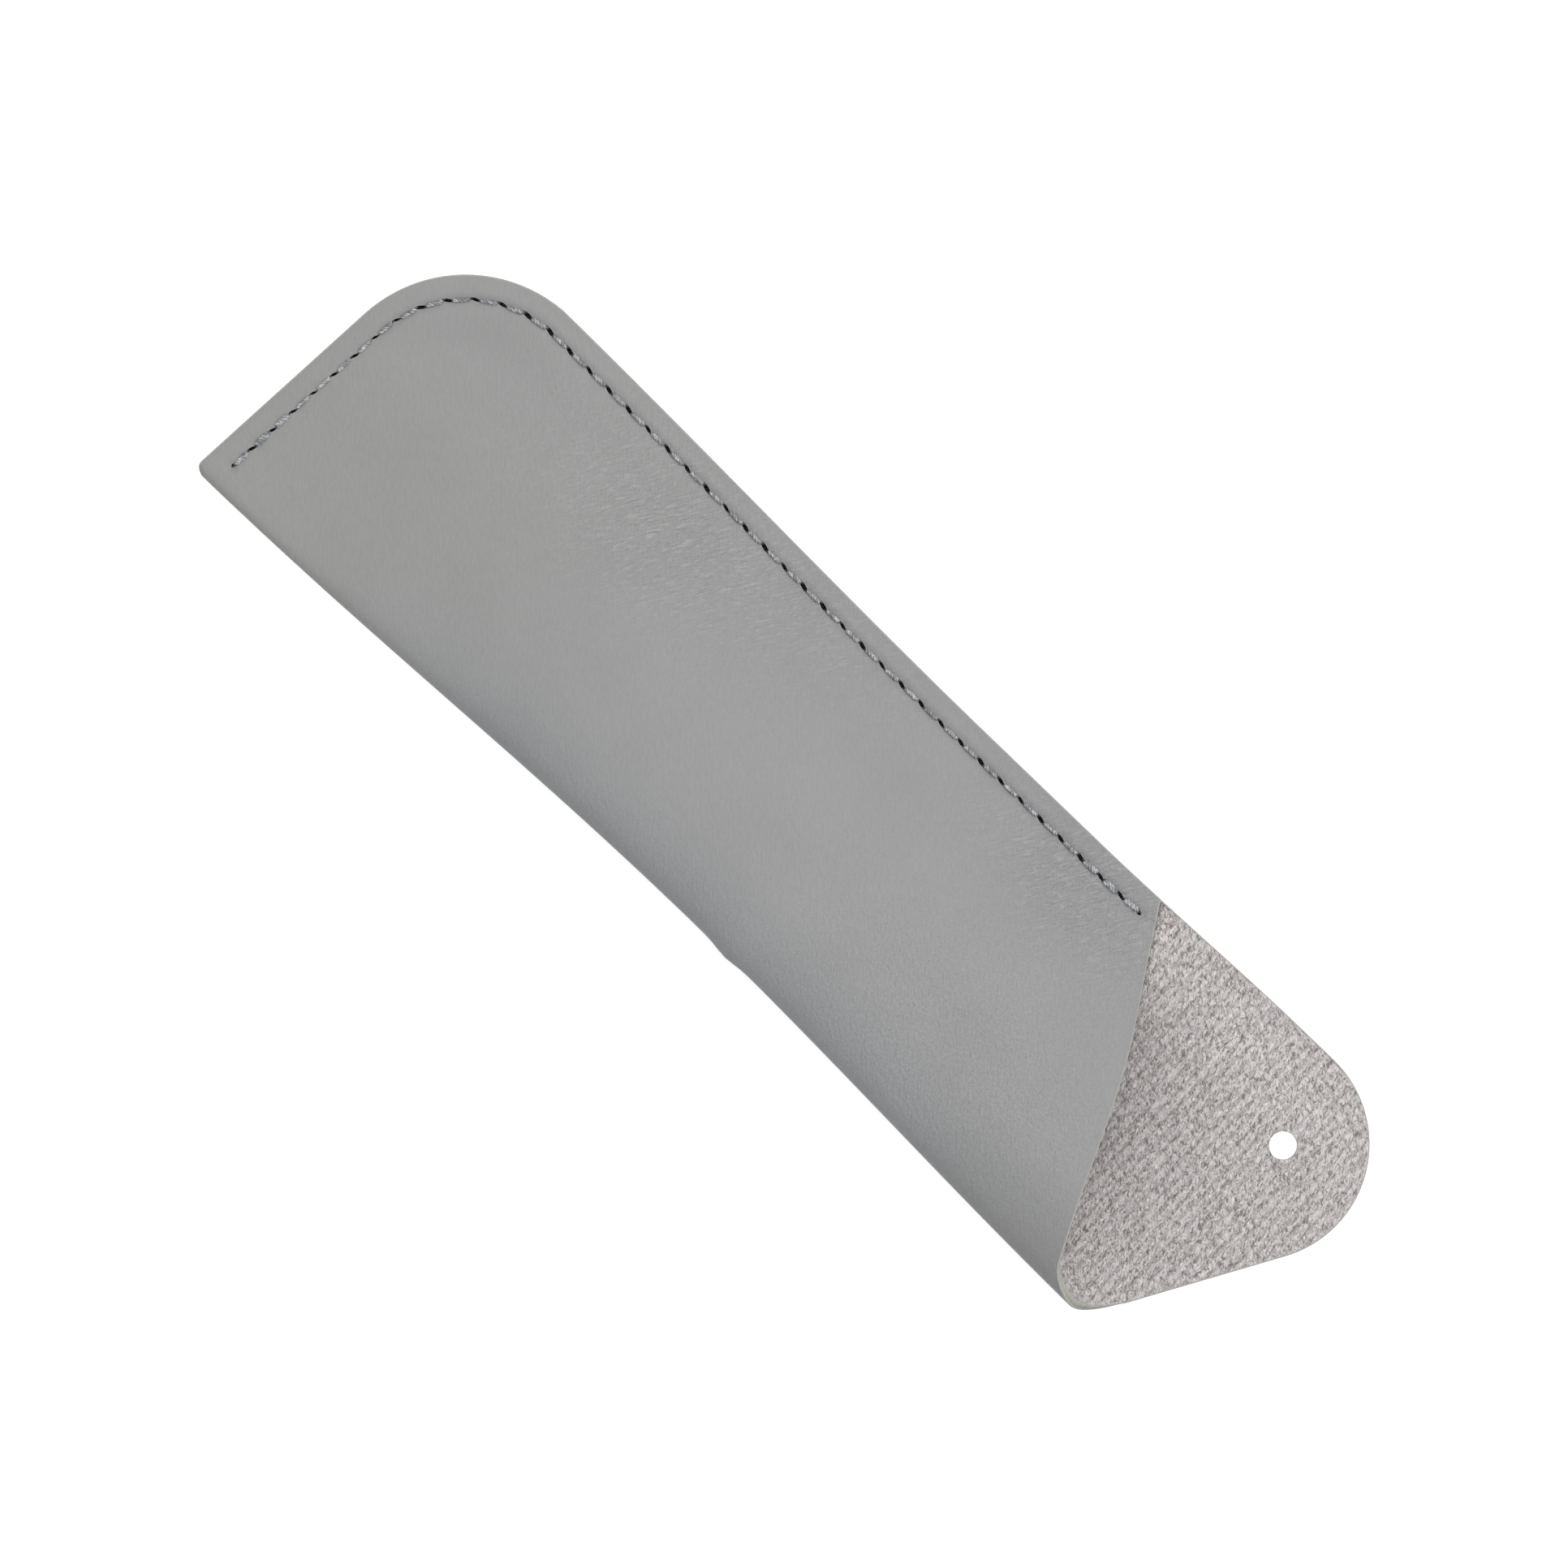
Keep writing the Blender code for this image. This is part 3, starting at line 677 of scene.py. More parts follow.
def cut_with(piece, cutters):
    """Applies the cuts, each with a wall material, and removes the cutters."""
    store(piece.data, "known", np.ones(len(piece.data.vertices)))
    for tool, wall in cutters:
        tool.data.materials.append(piece.data.materials[wall])
        modifier = piece.modifiers.new(tool.name, "BOOLEAN")
        modifier.operation = "DIFFERENCE"
        modifier.solver = "EXACT"
        modifier.material_mode = "TRANSFER"
        modifier.object = tool
    evaluated = piece.evaluated_get(bpy.context.evaluated_depsgraph_get())
    mesh = bpy.data.meshes.new_from_object(evaluated)
    piece.modifiers.clear()
    piece.data = mesh
    fill_attributes(mesh)
    for tool, _ in cutters:
        bpy.data.objects.remove(tool, do_unlink=True)


# The knit of the lining: rows of short slanted strands, one family over another

KNIT_SEED = 11
KNIT_TABLE = 128
KNIT_SHIFT_COLUMN = 7
# In mm, as sheet coordinates are here, and how far strands stray, in shares of a pitch and in degrees
KNIT_ROW_PITCH = 1.3
KNIT_STRAND_PITCH = 0.52
KNIT_ROW_STRAY = 0.22
KNIT_STRAND_STRAY = 0.7
KNIT_TURN_STRAY = 46.0
KNIT_LENGTH_SHARES = (0.75, 1.25)
KNIT_HEIGHT_SHARES = (0.7, 1.0)
# Each family of strands: tilt in degrees, half length, half width, height, row offset share
KNIT_FAMILIES = (
    (28.0, 0.46, 0.18, 1.0, 0.0),
    (18.0, 0.44, 0.18, 0.9, 0.3),
    (0.0, 0.3, 0.12, 0.4, 0.65),
)
KNIT_RELIEF = 0.2 * MM
RIM_FLATNESS = 0.8
KNIT_REACH_INSIDE = 5.0 * MM
KNIT_EDGE_MARGIN = 0.7 * MM
KNIT_FADE = 3.0 * MM
KNIT_REFINE_CUTS = 4
SMOOTH_RELIEF = 0.55
SMOOTH_TONE = 0.5
# Painted shade on the knit's colour: a painted contact shadow along the front's edge, and the knit darker
# past the mouth and paler by the sewn side
CONTACT_SHADOW_SHARE = 0.4
CONTACT_SHADOW_WIDTH = 1.3 * MM
CONTACT_SHADOW_REACH = 20.0 * MM
DARKER_PAST_MOUTH_SHARE = 0.12
DARKER_PAST_MOUTH_LENGTH = 20.0 * MM
DARKER_PAST_MOUTH_FROM_SPINE = 20.0 * MM
PALER_BY_SEAM_SHARE = 0.07
PALER_BY_SEAM_FROM = 32.0 * MM
PALER_BY_SEAM_RISE = 10.0 * MM


def knit(flat):
    """The knit's relief (0 to 1) and the tone of its strands at sheet coordinates in mm."""
    chance = np.random.default_rng(KNIT_SEED).random((KNIT_TABLE, KNIT_TABLE, 5))
    relief = np.zeros(len(flat))
    tone = np.full(len(flat), SMOOTH_TONE)
    for tilt, half_length, half_width, height, offset in KNIT_FAMILIES:
        across = flat[:, 0] / KNIT_ROW_PITCH + offset
        row = np.floor(across).astype(int)
        for row_step in (-1, 0, 1):
            here_row = row + row_step
            count = flat[:, 1] / KNIT_STRAND_PITCH + chance[here_row % KNIT_TABLE, KNIT_SHIFT_COLUMN, 0]
            strand = np.floor(count).astype(int)
            for strand_step in (-1, 0, 1):
                here = strand + strand_step
                draw = chance[here_row % KNIT_TABLE, here % KNIT_TABLE]
                x = (across - here_row - 0.5 - KNIT_ROW_STRAY * (draw[:, 0] - 0.5)) * KNIT_ROW_PITCH
                y = (count - here - 0.5 - KNIT_STRAND_STRAY * (draw[:, 1] - 0.5)) * KNIT_STRAND_PITCH
                turn = np.radians(tilt + KNIT_TURN_STRAY * (draw[:, 2] - 0.5))
                along = y * np.cos(turn) - x * np.sin(turn)
                side = x * np.cos(turn) + y * np.sin(turn)
                length = half_length * mix(*KNIT_LENGTH_SHARES, draw[:, 3])
                body = 1.0 - (along / length) ** 4 - (side / half_width) ** 2
                rise = height * mix(*KNIT_HEIGHT_SHARES, draw[:, 4]) * np.sqrt(np.clip(body, 0.0, 1.0))
                tone = np.where(rise > relief, draw[:, 4], tone)
                relief = np.maximum(relief, rise)
    return relief, tone


def knit_painted_shade_and_tone(plan):
    """A multiplier of the knit's colour at places in plan: a painted contact shadow by the front's edge,
    darker past the mouth, paler by the sewn side.
    """
    run = MOUTH_RUNS[0] + MOUTH_CORNER_Y - plan[:, 1]
    past_front = past_mouth(plan[:, 0] + hollow(run), plan[:, 1])
    # A painted contact shadow where the front's edge lies over the knit
    painted_contact_shadow = (1.0 - smooth(past_front / CONTACT_SHADOW_WIDTH)) * bell(plan[:, 1], MOUTH_CORNER_Y, CONTACT_SHADOW_REACH)
    paler_by_seam = smooth((plan[:, 1] - PALER_BY_SEAM_FROM) / PALER_BY_SEAM_RISE)
    darker_past_mouth = (1.0 - paler_by_seam) * (1.0 - smooth(past_front / DARKER_PAST_MOUTH_LENGTH))
    darker_past_mouth = darker_past_mouth * smooth(plan[:, 1] / DARKER_PAST_MOUTH_FROM_SPINE)
    return (1.0 - CONTACT_SHADOW_SHARE * painted_contact_shadow) * (1.0 - DARKER_PAST_MOUTH_SHARE * darker_past_mouth) * (1.0 + PALER_BY_SEAM_SHARE * paler_by_seam)


def raise_knit(mesh):
    """Makes the flap's lining fine and raises its knit; the knit fades out inside the pocket."""
    plan = plan_of(mesh_points(mesh))
    run = read(mesh, "flat_mm")[:, 1]
    wanted = past_mouth(plan[:, 0], plan[:, 1]) > -KNIT_REACH_INSIDE
    wanted = wanted & (run > 0.0) & (run < (MOUTH_RUNS[-1] - KNIT_EDGE_MARGIN) / MM)
    refine(mesh, wanted & (read(mesh, "side") < ON_INNER), KNIT_REFINE_CUTS)
    points = mesh_points(mesh)
    plan = plan_of(points)
    flat = read(mesh, "flat_mm")
    relief, tone = knit(flat)
    fade = smooth((past_mouth(plan[:, 0], plan[:, 1]) + KNIT_REACH_INSIDE) / KNIT_FADE)
    fade = fade * (flat[:, 1] > 0.0) * (read(mesh, "side") < ON_INNER)
    amount = fade * (1.0 - RIM_FLATNESS * read(mesh, "rim"))
    rise = KNIT_RELIEF * (relief - 0.5) * amount
    set_points(mesh, points - read(mesh, "away") * rise[:, None])
    store(mesh, "knit_relief", mix(SMOOTH_RELIEF, relief, fade))
    store(mesh, "knit_tone", mix(SMOOTH_TONE, tone, fade))
    # The painted contact shadow and the knit's darker and paler stretches, for its colour
    store(mesh, "painted_knit_shading", knit_painted_shade_and_tone(plan))


# The threads

PLY_RADIUS = 0.165 * MM
PLY_OFFSET = 0.125 * MM
TWIST_PITCH = 0.95 * MM
PLY_SIDES = 8
THREAD_STEP = 0.1 * MM
THREAD_SMOOTHING = 0.15 * MM
THREAD_SEAT = 0.15 * MM
THREAD_CROWN = 0.05 * MM
THREAD_DIP = 0.72 * MM
SQUEEZE_SHARE = 0.45
SQUEEZE_DEPTH = 0.3 * MM
SQUEEZE_RUN = 0.5 * MM
STRAND_SHARES = (0.27, 0.5, 0.73)
TACK_STITCHES = 3
TACK_SPREAD = 0.15 * MM
TAIL_LENGTH = 2.0 * MM
TAIL_RADIUS = 0.045 * MM
TAIL_BOW = 0.12 * MM
TAIL_ALONG_SHARE = 0.93
TAIL_ASIDE_SHARE = 0.3
TAIL_STEPS = 30


def stitch_order():
    """The holes as the thread takes them, sewn back over at both ends, and the side that it keeps to."""
    back = [(hole, 1.0) for hole in range(TACK_STITCHES, 0, -1)]
    last = STITCH_COUNT - TACK_STITCHES
    forth = [(hole, 0.0 if TACK_STITCHES <= hole <= last else -1.0) for hole in range(STITCH_COUNT)]
    return back + forth + [(hole, 1.0) for hole in range(STITCH_COUNT, last - 1, -1)]


def strand_route(side):
    """The strand's guide points, above the rim for side 1 and below it for side -1."""
    face = RIM_MIDDLE + side * (0.5 * (RIM_TOP - RIM_LIFT) + THREAD_SEAT)
    dip = face - side * THREAD_DIP
    loop = RIM_MIDDLE - side * LOOP_DEPTH
    order = stitch_order()
    points = []
    for step, (hole, spread) in enumerate(order):
        first, last = step == 0, step + 1 == len(order)
        came = hole if first else order[step - 1][0]
        toward = hole if last else order[step + 1][0]
        along = HOLE_ALONG[hole]
        square = np.array([-along[1], along[0]])
        offset = side * STRAND_ASIDE * square - STRAND_AHEAD * along
        centre = HOLE_PLACES[hole] + TACK_SPREAD * spread * square
        enter, leave = centre + offset, centre - offset
        if came > hole or toward < hole:
            enter, leave = leave, enter
        if not first:
            points.append((*enter, dip))
        points += [(*enter, loop), (*leave, loop)]
        if last:
            break
        points.append((*leave, dip))
        follow = HOLE_PLACES[toward] + TACK_SPREAD * order[step + 1][1] * square
        for share in STRAND_SHARES:
            crown = side * THREAD_CROWN * math.sin(math.pi * share)
            points.append((*mix(centre, follow, share), face + crown))
    return np.array(points)


def even_path(points):
    """Even steps along a route, with its corners rounded off."""
    marks = lengths_along(points)
    path = places_along(np.linspace(0.0, marks[-1], int(marks[-1] / THREAD_STEP)), marks, points)
    reach = int(3.0 * THREAD_SMOOTHING / THREAD_STEP) + 1
    weights = np.exp(-0.5 * (np.arange(-reach, reach + 1) * THREAD_STEP / THREAD_SMOOTHING) ** 2)
    weights /= weights.sum()
    padded = np.pad(path, ((reach, reach), (0, 0)), mode="edge")
    return np.stack([np.convolve(column, weights, mode="valid") for column in padded.T], axis=1)


def carried_frames(path):
    """Two directions square to the path, which starts level, carried along it without twist."""
    tangents = unit(np.gradient(path, axis=0))
    first = np.empty_like(path)
    side = np.cross(tangents[0], (0.0, 0.0, 1.0))
    for index, tangent in enumerate(tangents):
        side = unit(side - tangent * np.dot(side, tangent))
        first[index] = side
    return first, np.cross(tangents, first)


def turned(angles, first, second):
    """Directions at angles from the first of two square directions towards the second."""
    return np.cos(angles)[..., None] * first + np.sin(angles)[..., None] * second


def tube(path, radius):
    """A capped tube's points and faces, and its coordinates: length, angle, and share of full radius."""
    first, second = carried_frames(path)
    angles = np.linspace(0.0, FULL_TURN, PLY_SIDES, endpoint=False)
    ring = turned(angles[None, :], first[:, None, :], second[:, None, :])
    points = (path[:, None, :] + np.reshape(radius, (-1, 1, 1)) * ring).reshape(-1, 3)
    index = np.arange(len(path) * PLY_SIDES).reshape(len(path), PLY_SIDES)
    around = np.roll(index, -1, axis=1)
    faces = np.stack([index[:-1], around[:-1], around[1:], index[1:]], axis=-1).reshape(-1, 4).tolist()
    faces += [index[0, ::-1].tolist(), index[-1].tolist()]
    full = np.broadcast_to(radius / np.max(radius), len(path))
    lay = np.broadcast_arrays(lengths_along(path)[:, None] / MM, angles, full[:, None])
    return points, faces, np.stack(lay, axis=-1).reshape(-1, 3)


def ply_paths(path, side):
    """The two plies wound round a strand's path, squeezed thinner where it goes through the rim."""
    first, second = carried_frames(path)
    above = side * (path[:, 2] - RIM_MIDDLE) - 0.5 * (RIM_TOP - RIM_LIFT)
    full = mix(SQUEEZE_SHARE, 1.0, smooth((above + SQUEEZE_DEPTH) / SQUEEZE_RUN))
    for ply in (0.0, 0.5):
        ring = turned(FULL_TURN * (lengths_along(path) / TWIST_PITCH + ply), first, second)
        yield path + (PLY_OFFSET * full)[:, None] * ring, PLY_RADIUS * full


def tail_path(start):
    """A short loose end of thread, lying on the skin from the last hole towards the mouth."""
    shares = np.linspace(0.0, 1.0, TAIL_STEPS)
    x = start[0] + TAIL_LENGTH * TAIL_ALONG_SHARE * shares
    y = start[1] + TAIL_LENGTH * TAIL_ASIDE_SHARE * shares + TAIL_BOW * np.sin(math.pi * shares)
    z = RIM_TOP + TAIL_RADIUS - CHANNEL_DEPTH * (1.0 - smooth(2.0 * shares))
    return np.stack([x, y, z], axis=1)


def thread_object(name, side):
    """A thread's two plies, over the rim for side 1, with a loose end, and under it for side -1."""
    path = even_path(strand_route(side))
    tubes = [tube(*ply) for ply in ply_paths(path, side)]
    if side > 0.0:
        tubes.append(tube(tail_path(HOLE_PLACES[-1]), TAIL_RADIUS))
    points, faces, lays = zip(*tubes)
    starts = np.cumsum([0] + [len(part) for part in points]).tolist()
    joined = [[corner + start for corner in face] for part, start in zip(faces, starts) for face in part]
    mesh = bpy.data.meshes.new(name)
    mesh.from_pydata(to_origin(np.concatenate(points)).tolist(), [], joined)
    store(mesh, "lay", np.concatenate(lays))
    edit_mesh(mesh, face_outwards)
    mesh.shade_smooth()
    return add_object(name, mesh)


# Materials

WHITE = (1.0, 1.0, 1.0, 1.0)


class Nodes:
    """Short calls for the nodes of a material or of the world."""

    def __init__(self, owner):
        owner.use_nodes = True
        self.owner = owner
        self.tree = owner.node_tree

    def put(self, socket, value):
        if isinstance(value, bpy.types.NodeSocket):
            self.tree.links.new(value, socket)
        else:
            socket.default_value = value

    def node(self, kind, inputs=None, **settings):
        made = self.tree.nodes.new("ShaderNode" + kind)
        for key, value in settings.items():
            setattr(made, key, value)
        for key, value in (inputs or {}).items():
            self.put(made.inputs[key], value)
        return made

    def attribute(self, name, output="Fac"):
        return self.node("Attribute", attribute_name=name).outputs[output]

    def math(self, operation, a, b):
        return self.node("Math", {0: a, 1: b}, operation=operation).outputs[0]

    def times(self, a, b):
        return self.math("MULTIPLY", a, b)

    def vector_math(self, operation, *inputs):
        return self.node("VectorMath", dict(enumerate(inputs)), operation=operation).outputs[0]

    def tint(self, colour, shade):
        return self.node("VectorMath", {0: colour, "Scale": shade}, operation="SCALE").outputs[0]

    def scaled(self, vector, scale, turn=0.0):
        inputs = {"Vector": vector, "Scale": scale, "Rotation": (0.0, 0.0, turn)}
        return self.node("Mapping", inputs, vector_type="TEXTURE").outputs[0]

    def noise(self, vector, scale, detail=2.0, roughness=0.5, distortion=0.0, output="Fac"):
        inputs = {"Vector": vector, "Scale": scale, "Detail": detail, "Roughness": roughness}
        return self.node("TexNoise", inputs | {"Distortion": distortion}).outputs[output]

    def cells(self, vector, feature="F1"):
        return self.node("TexVoronoi", {"Vector": vector, "Scale": 1.0}, feature=feature).outputs["Distance"]

    def steps(self, value, low, high, out_low=0.0, out_high=1.0):
        inputs = {"Value": value, "From Min": low, "From Max": high, "To Min": out_low, "To Max": out_high}
        return self.node("MapRange", inputs, interpolation_type="SMOOTHSTEP").outputs["Result"]

    def blend(self, factor, a, b):
        return self.node("Mix", {"Factor": factor, "A": a, "B": b}, data_type="RGBA").outputs["Result"]

    def bump(self, height, distance, normal=None):
        inputs = {"Height": height, "Distance": distance}
        if normal is not None:
            inputs["Normal"] = normal
        return self.node("Bump", inputs).outputs["Normal"]

    def finish(self, **inputs):
        """Fills in the surface's inputs and gives the material."""
        for key, value in inputs.items():
            self.put(self.tree.nodes["Principled BSDF"].inputs[key.replace("_", " ")], value)
        return self.owner


# The skin's greys by region, with painted shade, a little cool, on the roll by the spine and at the mouth's
# corner by the spine
END_GREY = (0.331, 0.33, 0.325, 1.0)
MOUTH_GREY = (0.341, 0.341, 0.345, 1.0)
SPINE_PAINTED_SHADE = (0.298, 0.305, 0.311, 1.0)
END_SEAM_GREY = (0.338, 0.338, 0.336, 1.0)
LONG_SEAM_GREY = (0.327, 0.327, 0.327, 1.0)
MOUTH_CORNER_PAINTED_SHADE = (0.278, 0.278, 0.279, 1.0)
# The directions of the fine strokes and of the wrinkles in sheet coordinates
STROKE_TURN = math.radians(46.0)
WRINKLE_TURN = math.radians(-60.0)
LEAST_GRAIN = 0.08
PEBBLE_RELIEF = 0.08 * MM
STROKE_RELIEF = 0.13 * MM
PORE_RELIEF = 0.08 * MM
WRINKLE_RELIEF = 0.3 * MM


def skin_colour(make, along, run):
    """The skin's grey at lengths and runs in mm, with painted shade by the spine and at the mouth's corner.
    """
    from_spine = make.math("ABSOLUTE", run, 0.0)
    colour = make.blend(make.steps(along, 10.0, 90.0), END_GREY, MOUTH_GREY)
    by_seam = make.blend(make.steps(along, 45.0, 75.0), END_SEAM_GREY, LONG_SEAM_GREY)
    colour = make.blend(make.steps(run, -22.0, -38.0), colour, by_seam)
    # Painted shade, a little cool, on the roll where it turns down to the spine
    painted_spine_shade = make.times(make.steps(from_spine, 15.0, 1.0), make.steps(along, 15.0, 60.0))
    colour = make.blend(painted_spine_shade, colour, SPINE_PAINTED_SHADE)
    # Painted shade at the mouth's corner by the spine
    painted_corner_shade = make.times(make.steps(along, 120.0, 150.0), make.steps(from_spine, 16.0, 4.0))
    return make.blend(painted_corner_shade, colour, MOUTH_CORNER_PAINTED_SHADE)


def leather_material():
    """Fine artificial leather: short strokes and pores in its grain, and wrinkles where it has been bent,
    with painted highlights on the wrinkles' ridges and the grain's raised points and painted shade in its
    hollows.
    """
    make = Nodes(bpy.data.materials.new("pebbled_leather"))
    flat = make.attribute("flat_mm", "Vector")
    grain = make.attribute("grain")
    wrinkled = make.attribute("wrinkled")
    along, run, _ = make.node("SeparateXYZ", {0: flat}).outputs
    pebbles = make.cells(make.scaled(flat, (0.5, 0.36, 1.0), STROKE_TURN), "SMOOTH_F1")
    pores = make.noise(flat, 3.4, 3.0, 0.65, 0.3)
    strokes = make.noise(make.scaled(flat, (1.35, 0.3, 1.0), STROKE_TURN), 1.0, 2.0, 0.5, 0.5)
    wrinkles = make.noise(make.scaled(flat, (1.5, 0.36, 1.0), WRINKLE_TURN), 1.0, 2.0, 0.5, 0.8)
    grainy = make.math("ADD", make.times(grain, 1.0 - LEAST_GRAIN), LEAST_GRAIN)
    normal = make.bump(make.times(make.math("SUBTRACT", 1.0, pebbles), grainy), PEBBLE_RELIEF)
    normal = make.bump(make.times(strokes, grainy), STROKE_RELIEF, normal)
    normal = make.bump(make.times(pores, grainy), PORE_RELIEF, normal)
    normal = make.bump(make.times(wrinkles, wrinkled), WRINKLE_RELIEF, normal)
    patches = make.steps(make.noise(flat, 0.09, 3.0), 0.3, 0.7, 0.985, 1.015)
    # Painted shade in the strokes' hollows and painted light on their tops
    shade = make.times(patches, make.steps(strokes, 0.32, 0.68, 0.975, 1.025))
    # Painted highlights on the wrinkles' ridges
    painted_ridge_light = make.times(make.steps(wrinkles, 0.52, 0.66, 0.0, 0.2), wrinkled)
    # Painted highlights on the grain's raised points and painted shade in its pores
    painted_grain_light = make.times(make.steps(pores, 0.4, 0.66, -0.04, 0.14), grain)
    shade = make.times(shade, make.math("ADD", make.math("ADD", painted_ridge_light, painted_grain_light), 1.0))
    colour = make.tint(skin_colour(make, along, run), shade)
    roughness = make.steps(make.noise(flat, 0.9), 0.3, 0.7, 0.5, 0.6)
    return make.finish(Base_Color=colour, Roughness=roughness, Normal=normal, Specular_IOR_Level=0.25)


FOAM_DARK = (0.4, 0.4, 0.365, 1.0)
FOAM_PALE = (0.5, 0.497, 0.455, 1.0)
FOAM_RELIEF = 0.05 * MM
# Painted shade for the needle slits' walls
SLIT_PAINTED_SHADE = (0.03, 0.03, 0.032, 1.0)


def edge_material():
    """The cut through the sheet: pale grey-beige foam and fibre ends."""
    make = Nodes(bpy.data.materials.new("cut_edge"))
    fibre = make.noise(make.attribute("flat_mm", "Vector"), 5.0, 3.0, 0.6)
    colour = make.blend(make.steps(fibre, 0.3, 0.7), FOAM_DARK, FOAM_PALE)
    return make.finish(Base_Color=colour, Roughness=0.85, Normal=make.bump(fibre, FOAM_RELIEF))


def slit_shade_material():
    """The inside of the needle slits, painted dark for the shade down in them."""
    return Nodes(bpy.data.materials.new("needle_slit_painted_shade")).finish(Base_Color=SLIT_PAINTED_SHADE, Roughness=0.8)


# The strands' pale colour, and painted shade for their sides and for the gaps between them
KNIT_PALE = (0.82, 0.785, 0.777, 1.0)
KNIT_SHADED_SIDE = (0.63, 0.59, 0.584, 1.0)
KNIT_GAP_SHADE = (0.3, 0.27, 0.265, 1.0)
# The directions of the two sets of strands and of their fibres in sheet coordinates
KNIT_STRAND_TURN = math.radians(108.0)
KNIT_CURL_TURN = math.radians(135.0)
KNIT_FIBRE_TURN = math.radians(112.0)
KNIT_STRAND_RELIEF = 0.12 * MM
KNIT_FIBRE_RELIEF = 0.04 * MM


def lining_material():
    """The knitted backing: pale pinkish strands that wind about each other, with painted shade on their
    sides, in the small gaps between them and where the knit's relief is low.
    """
    make = Nodes(bpy.data.materials.new("knitted_backing"))
    flat = make.attribute("flat_mm", "Vector")
    drift = make.vector_math("SUBTRACT", make.noise(flat, 1.6, output="Color"), (0.5, 0.5, 0.5))
    wound = make.vector_math("MULTIPLY_ADD", drift, (0.9, 0.9, 0.0), flat)
    strands = make.cells(make.scaled(wound, (0.8, 0.2, 1.0), KNIT_STRAND_TURN))
    curls = make.cells(make.scaled(wound, (0.5, 0.2, 1.0), KNIT_CURL_TURN))
    depth = make.math("MINIMUM", strands, curls)
    # Painted shade down the strands' sides and in the gaps between them
    colour = make.blend(make.steps(depth, 0.08, 0.42), KNIT_PALE, KNIT_SHADED_SIDE)
    colour = make.blend(make.steps(depth, 0.44, 0.66), colour, KNIT_GAP_SHADE)
    fibres = make.noise(make.scaled(wound, (0.3, 0.08, 1.0), KNIT_FIBRE_TURN), 1.0, 3.0, 0.65, 0.6)
    # Painted shade where the knit's relief is low
    painted_relief_shade = make.steps(make.attribute("knit_relief"), 0.0, 0.6, 0.72, 1.05)
    shade = make.times(make.steps(fibres, 0.3, 0.7, 0.86, 1.14), painted_relief_shade)
    shade = make.times(shade, make.steps(make.attribute("knit_tone"), 0.0, 1.0, 0.94, 1.06))
    # The knit's colour takes the painted contact shadow and the darker and paler stretches
    colour = make.tint(colour, make.times(shade, make.attribute("painted_knit_shading")))
    normal = make.bump(make.math("SUBTRACT", 1.0, depth), KNIT_STRAND_RELIEF)
    normal = make.bump(fibres, KNIT_FIBRE_RELIEF, normal)
    fixed = {"Roughness": 0.88, "Sheen_Weight": 0.15, "Specular_IOR_Level": 0.25}
    return make.finish(Base_Color=colour, Normal=normal, **fixed)


THREAD_DARK = (0.14, 0.147, 0.16, 1.0)
# Painted highlights on the bright fibres, and painted shade down in the holes
THREAD_GLINT = (0.8, 0.81, 0.84, 1.0)
THREAD_HOLE_SHADE = (0.035, 0.036, 0.04, 1.0)
THREAD_RELIEF = 0.05 * MM


def thread_material():
    """Silvery grey thread: dark fibres with painted highlights along the ply, dimmer in patches, and painted
    shade where it enters a hole.
    """
    make = Nodes(bpy.data.materials.new("silver_thread"))
    lay = make.attribute("lay", "Vector")
    full = make.node("SeparateXYZ", {0: lay}).outputs[2]
    level = make.vector_math("MULTIPLY", lay, (1.0, 1.0, 0.0))
    fibres = make.noise(make.scaled(level, (0.42, 0.7, 1.0)), 1.0, 3.0, 0.7, 0.4)
    glint_patches = make.noise(make.scaled(level, (1.5, 4.0, 1.0)), 1.0, 2.0, 0.6)
    # Painted highlights along the ply, dimmer in patches
    painted_glints = make.times(make.steps(fibres, 0.34, 0.62), make.steps(glint_patches, 0.38, 0.6, 0.22, 1.0))
    colour = make.blend(painted_glints, THREAD_DARK, THREAD_GLINT)
    # Painted shade where the thread dips into a hole
    colour = make.blend(make.steps(full, 0.6, 0.92), THREAD_HOLE_SHADE, colour)
    normal = make.bump(fibres, THREAD_RELIEF)
    return make.finish(Base_Color=colour, Roughness=0.34, Normal=normal, Specular_IOR_Level=0.7)


# Where the skin's grain and wrinkles are strong: (x, run) centre in mm, reach along and across, amount.
# The run is minus on the front.

GRAIN_BASE = 0.16
GRAIN_SPOTS = (
    ((52.0, -42.0), (24.0, 12.0), 0.4),
    ((128.0, -8.0), (30.0, 12.0), 0.6),
    ((124.0, -20.0), (24.0, 11.0), 0.6),
    ((130.0, -42.0), (24.0, 12.0), 0.6),
    ((80.0, -3.0), (40.0, 6.0), 0.5),
)
WRINKLE_SPOTS = (
    ((50.0, -37.0), (19.0, 11.0), 0.85),
    ((74.0, -44.0), (16.0, 7.0), 0.45),
    ((121.0, -43.0), (15.0, 10.0), 1.0),
    ((112.0, -9.0), (36.0, 6.0), 0.1),
)


def spots(flat, places, base=0.0):
    amount = np.full(len(flat), base)
    for centre, reach, strength in places:
        amount += strength * bell(flat[:, 0], centre[0], reach[0]) * bell(flat[:, 1], centre[1], reach[1])
    return np.clip(amount, 0.0, 1.0)


# Pieces

SHARP_ANGLE = math.radians(55.0)


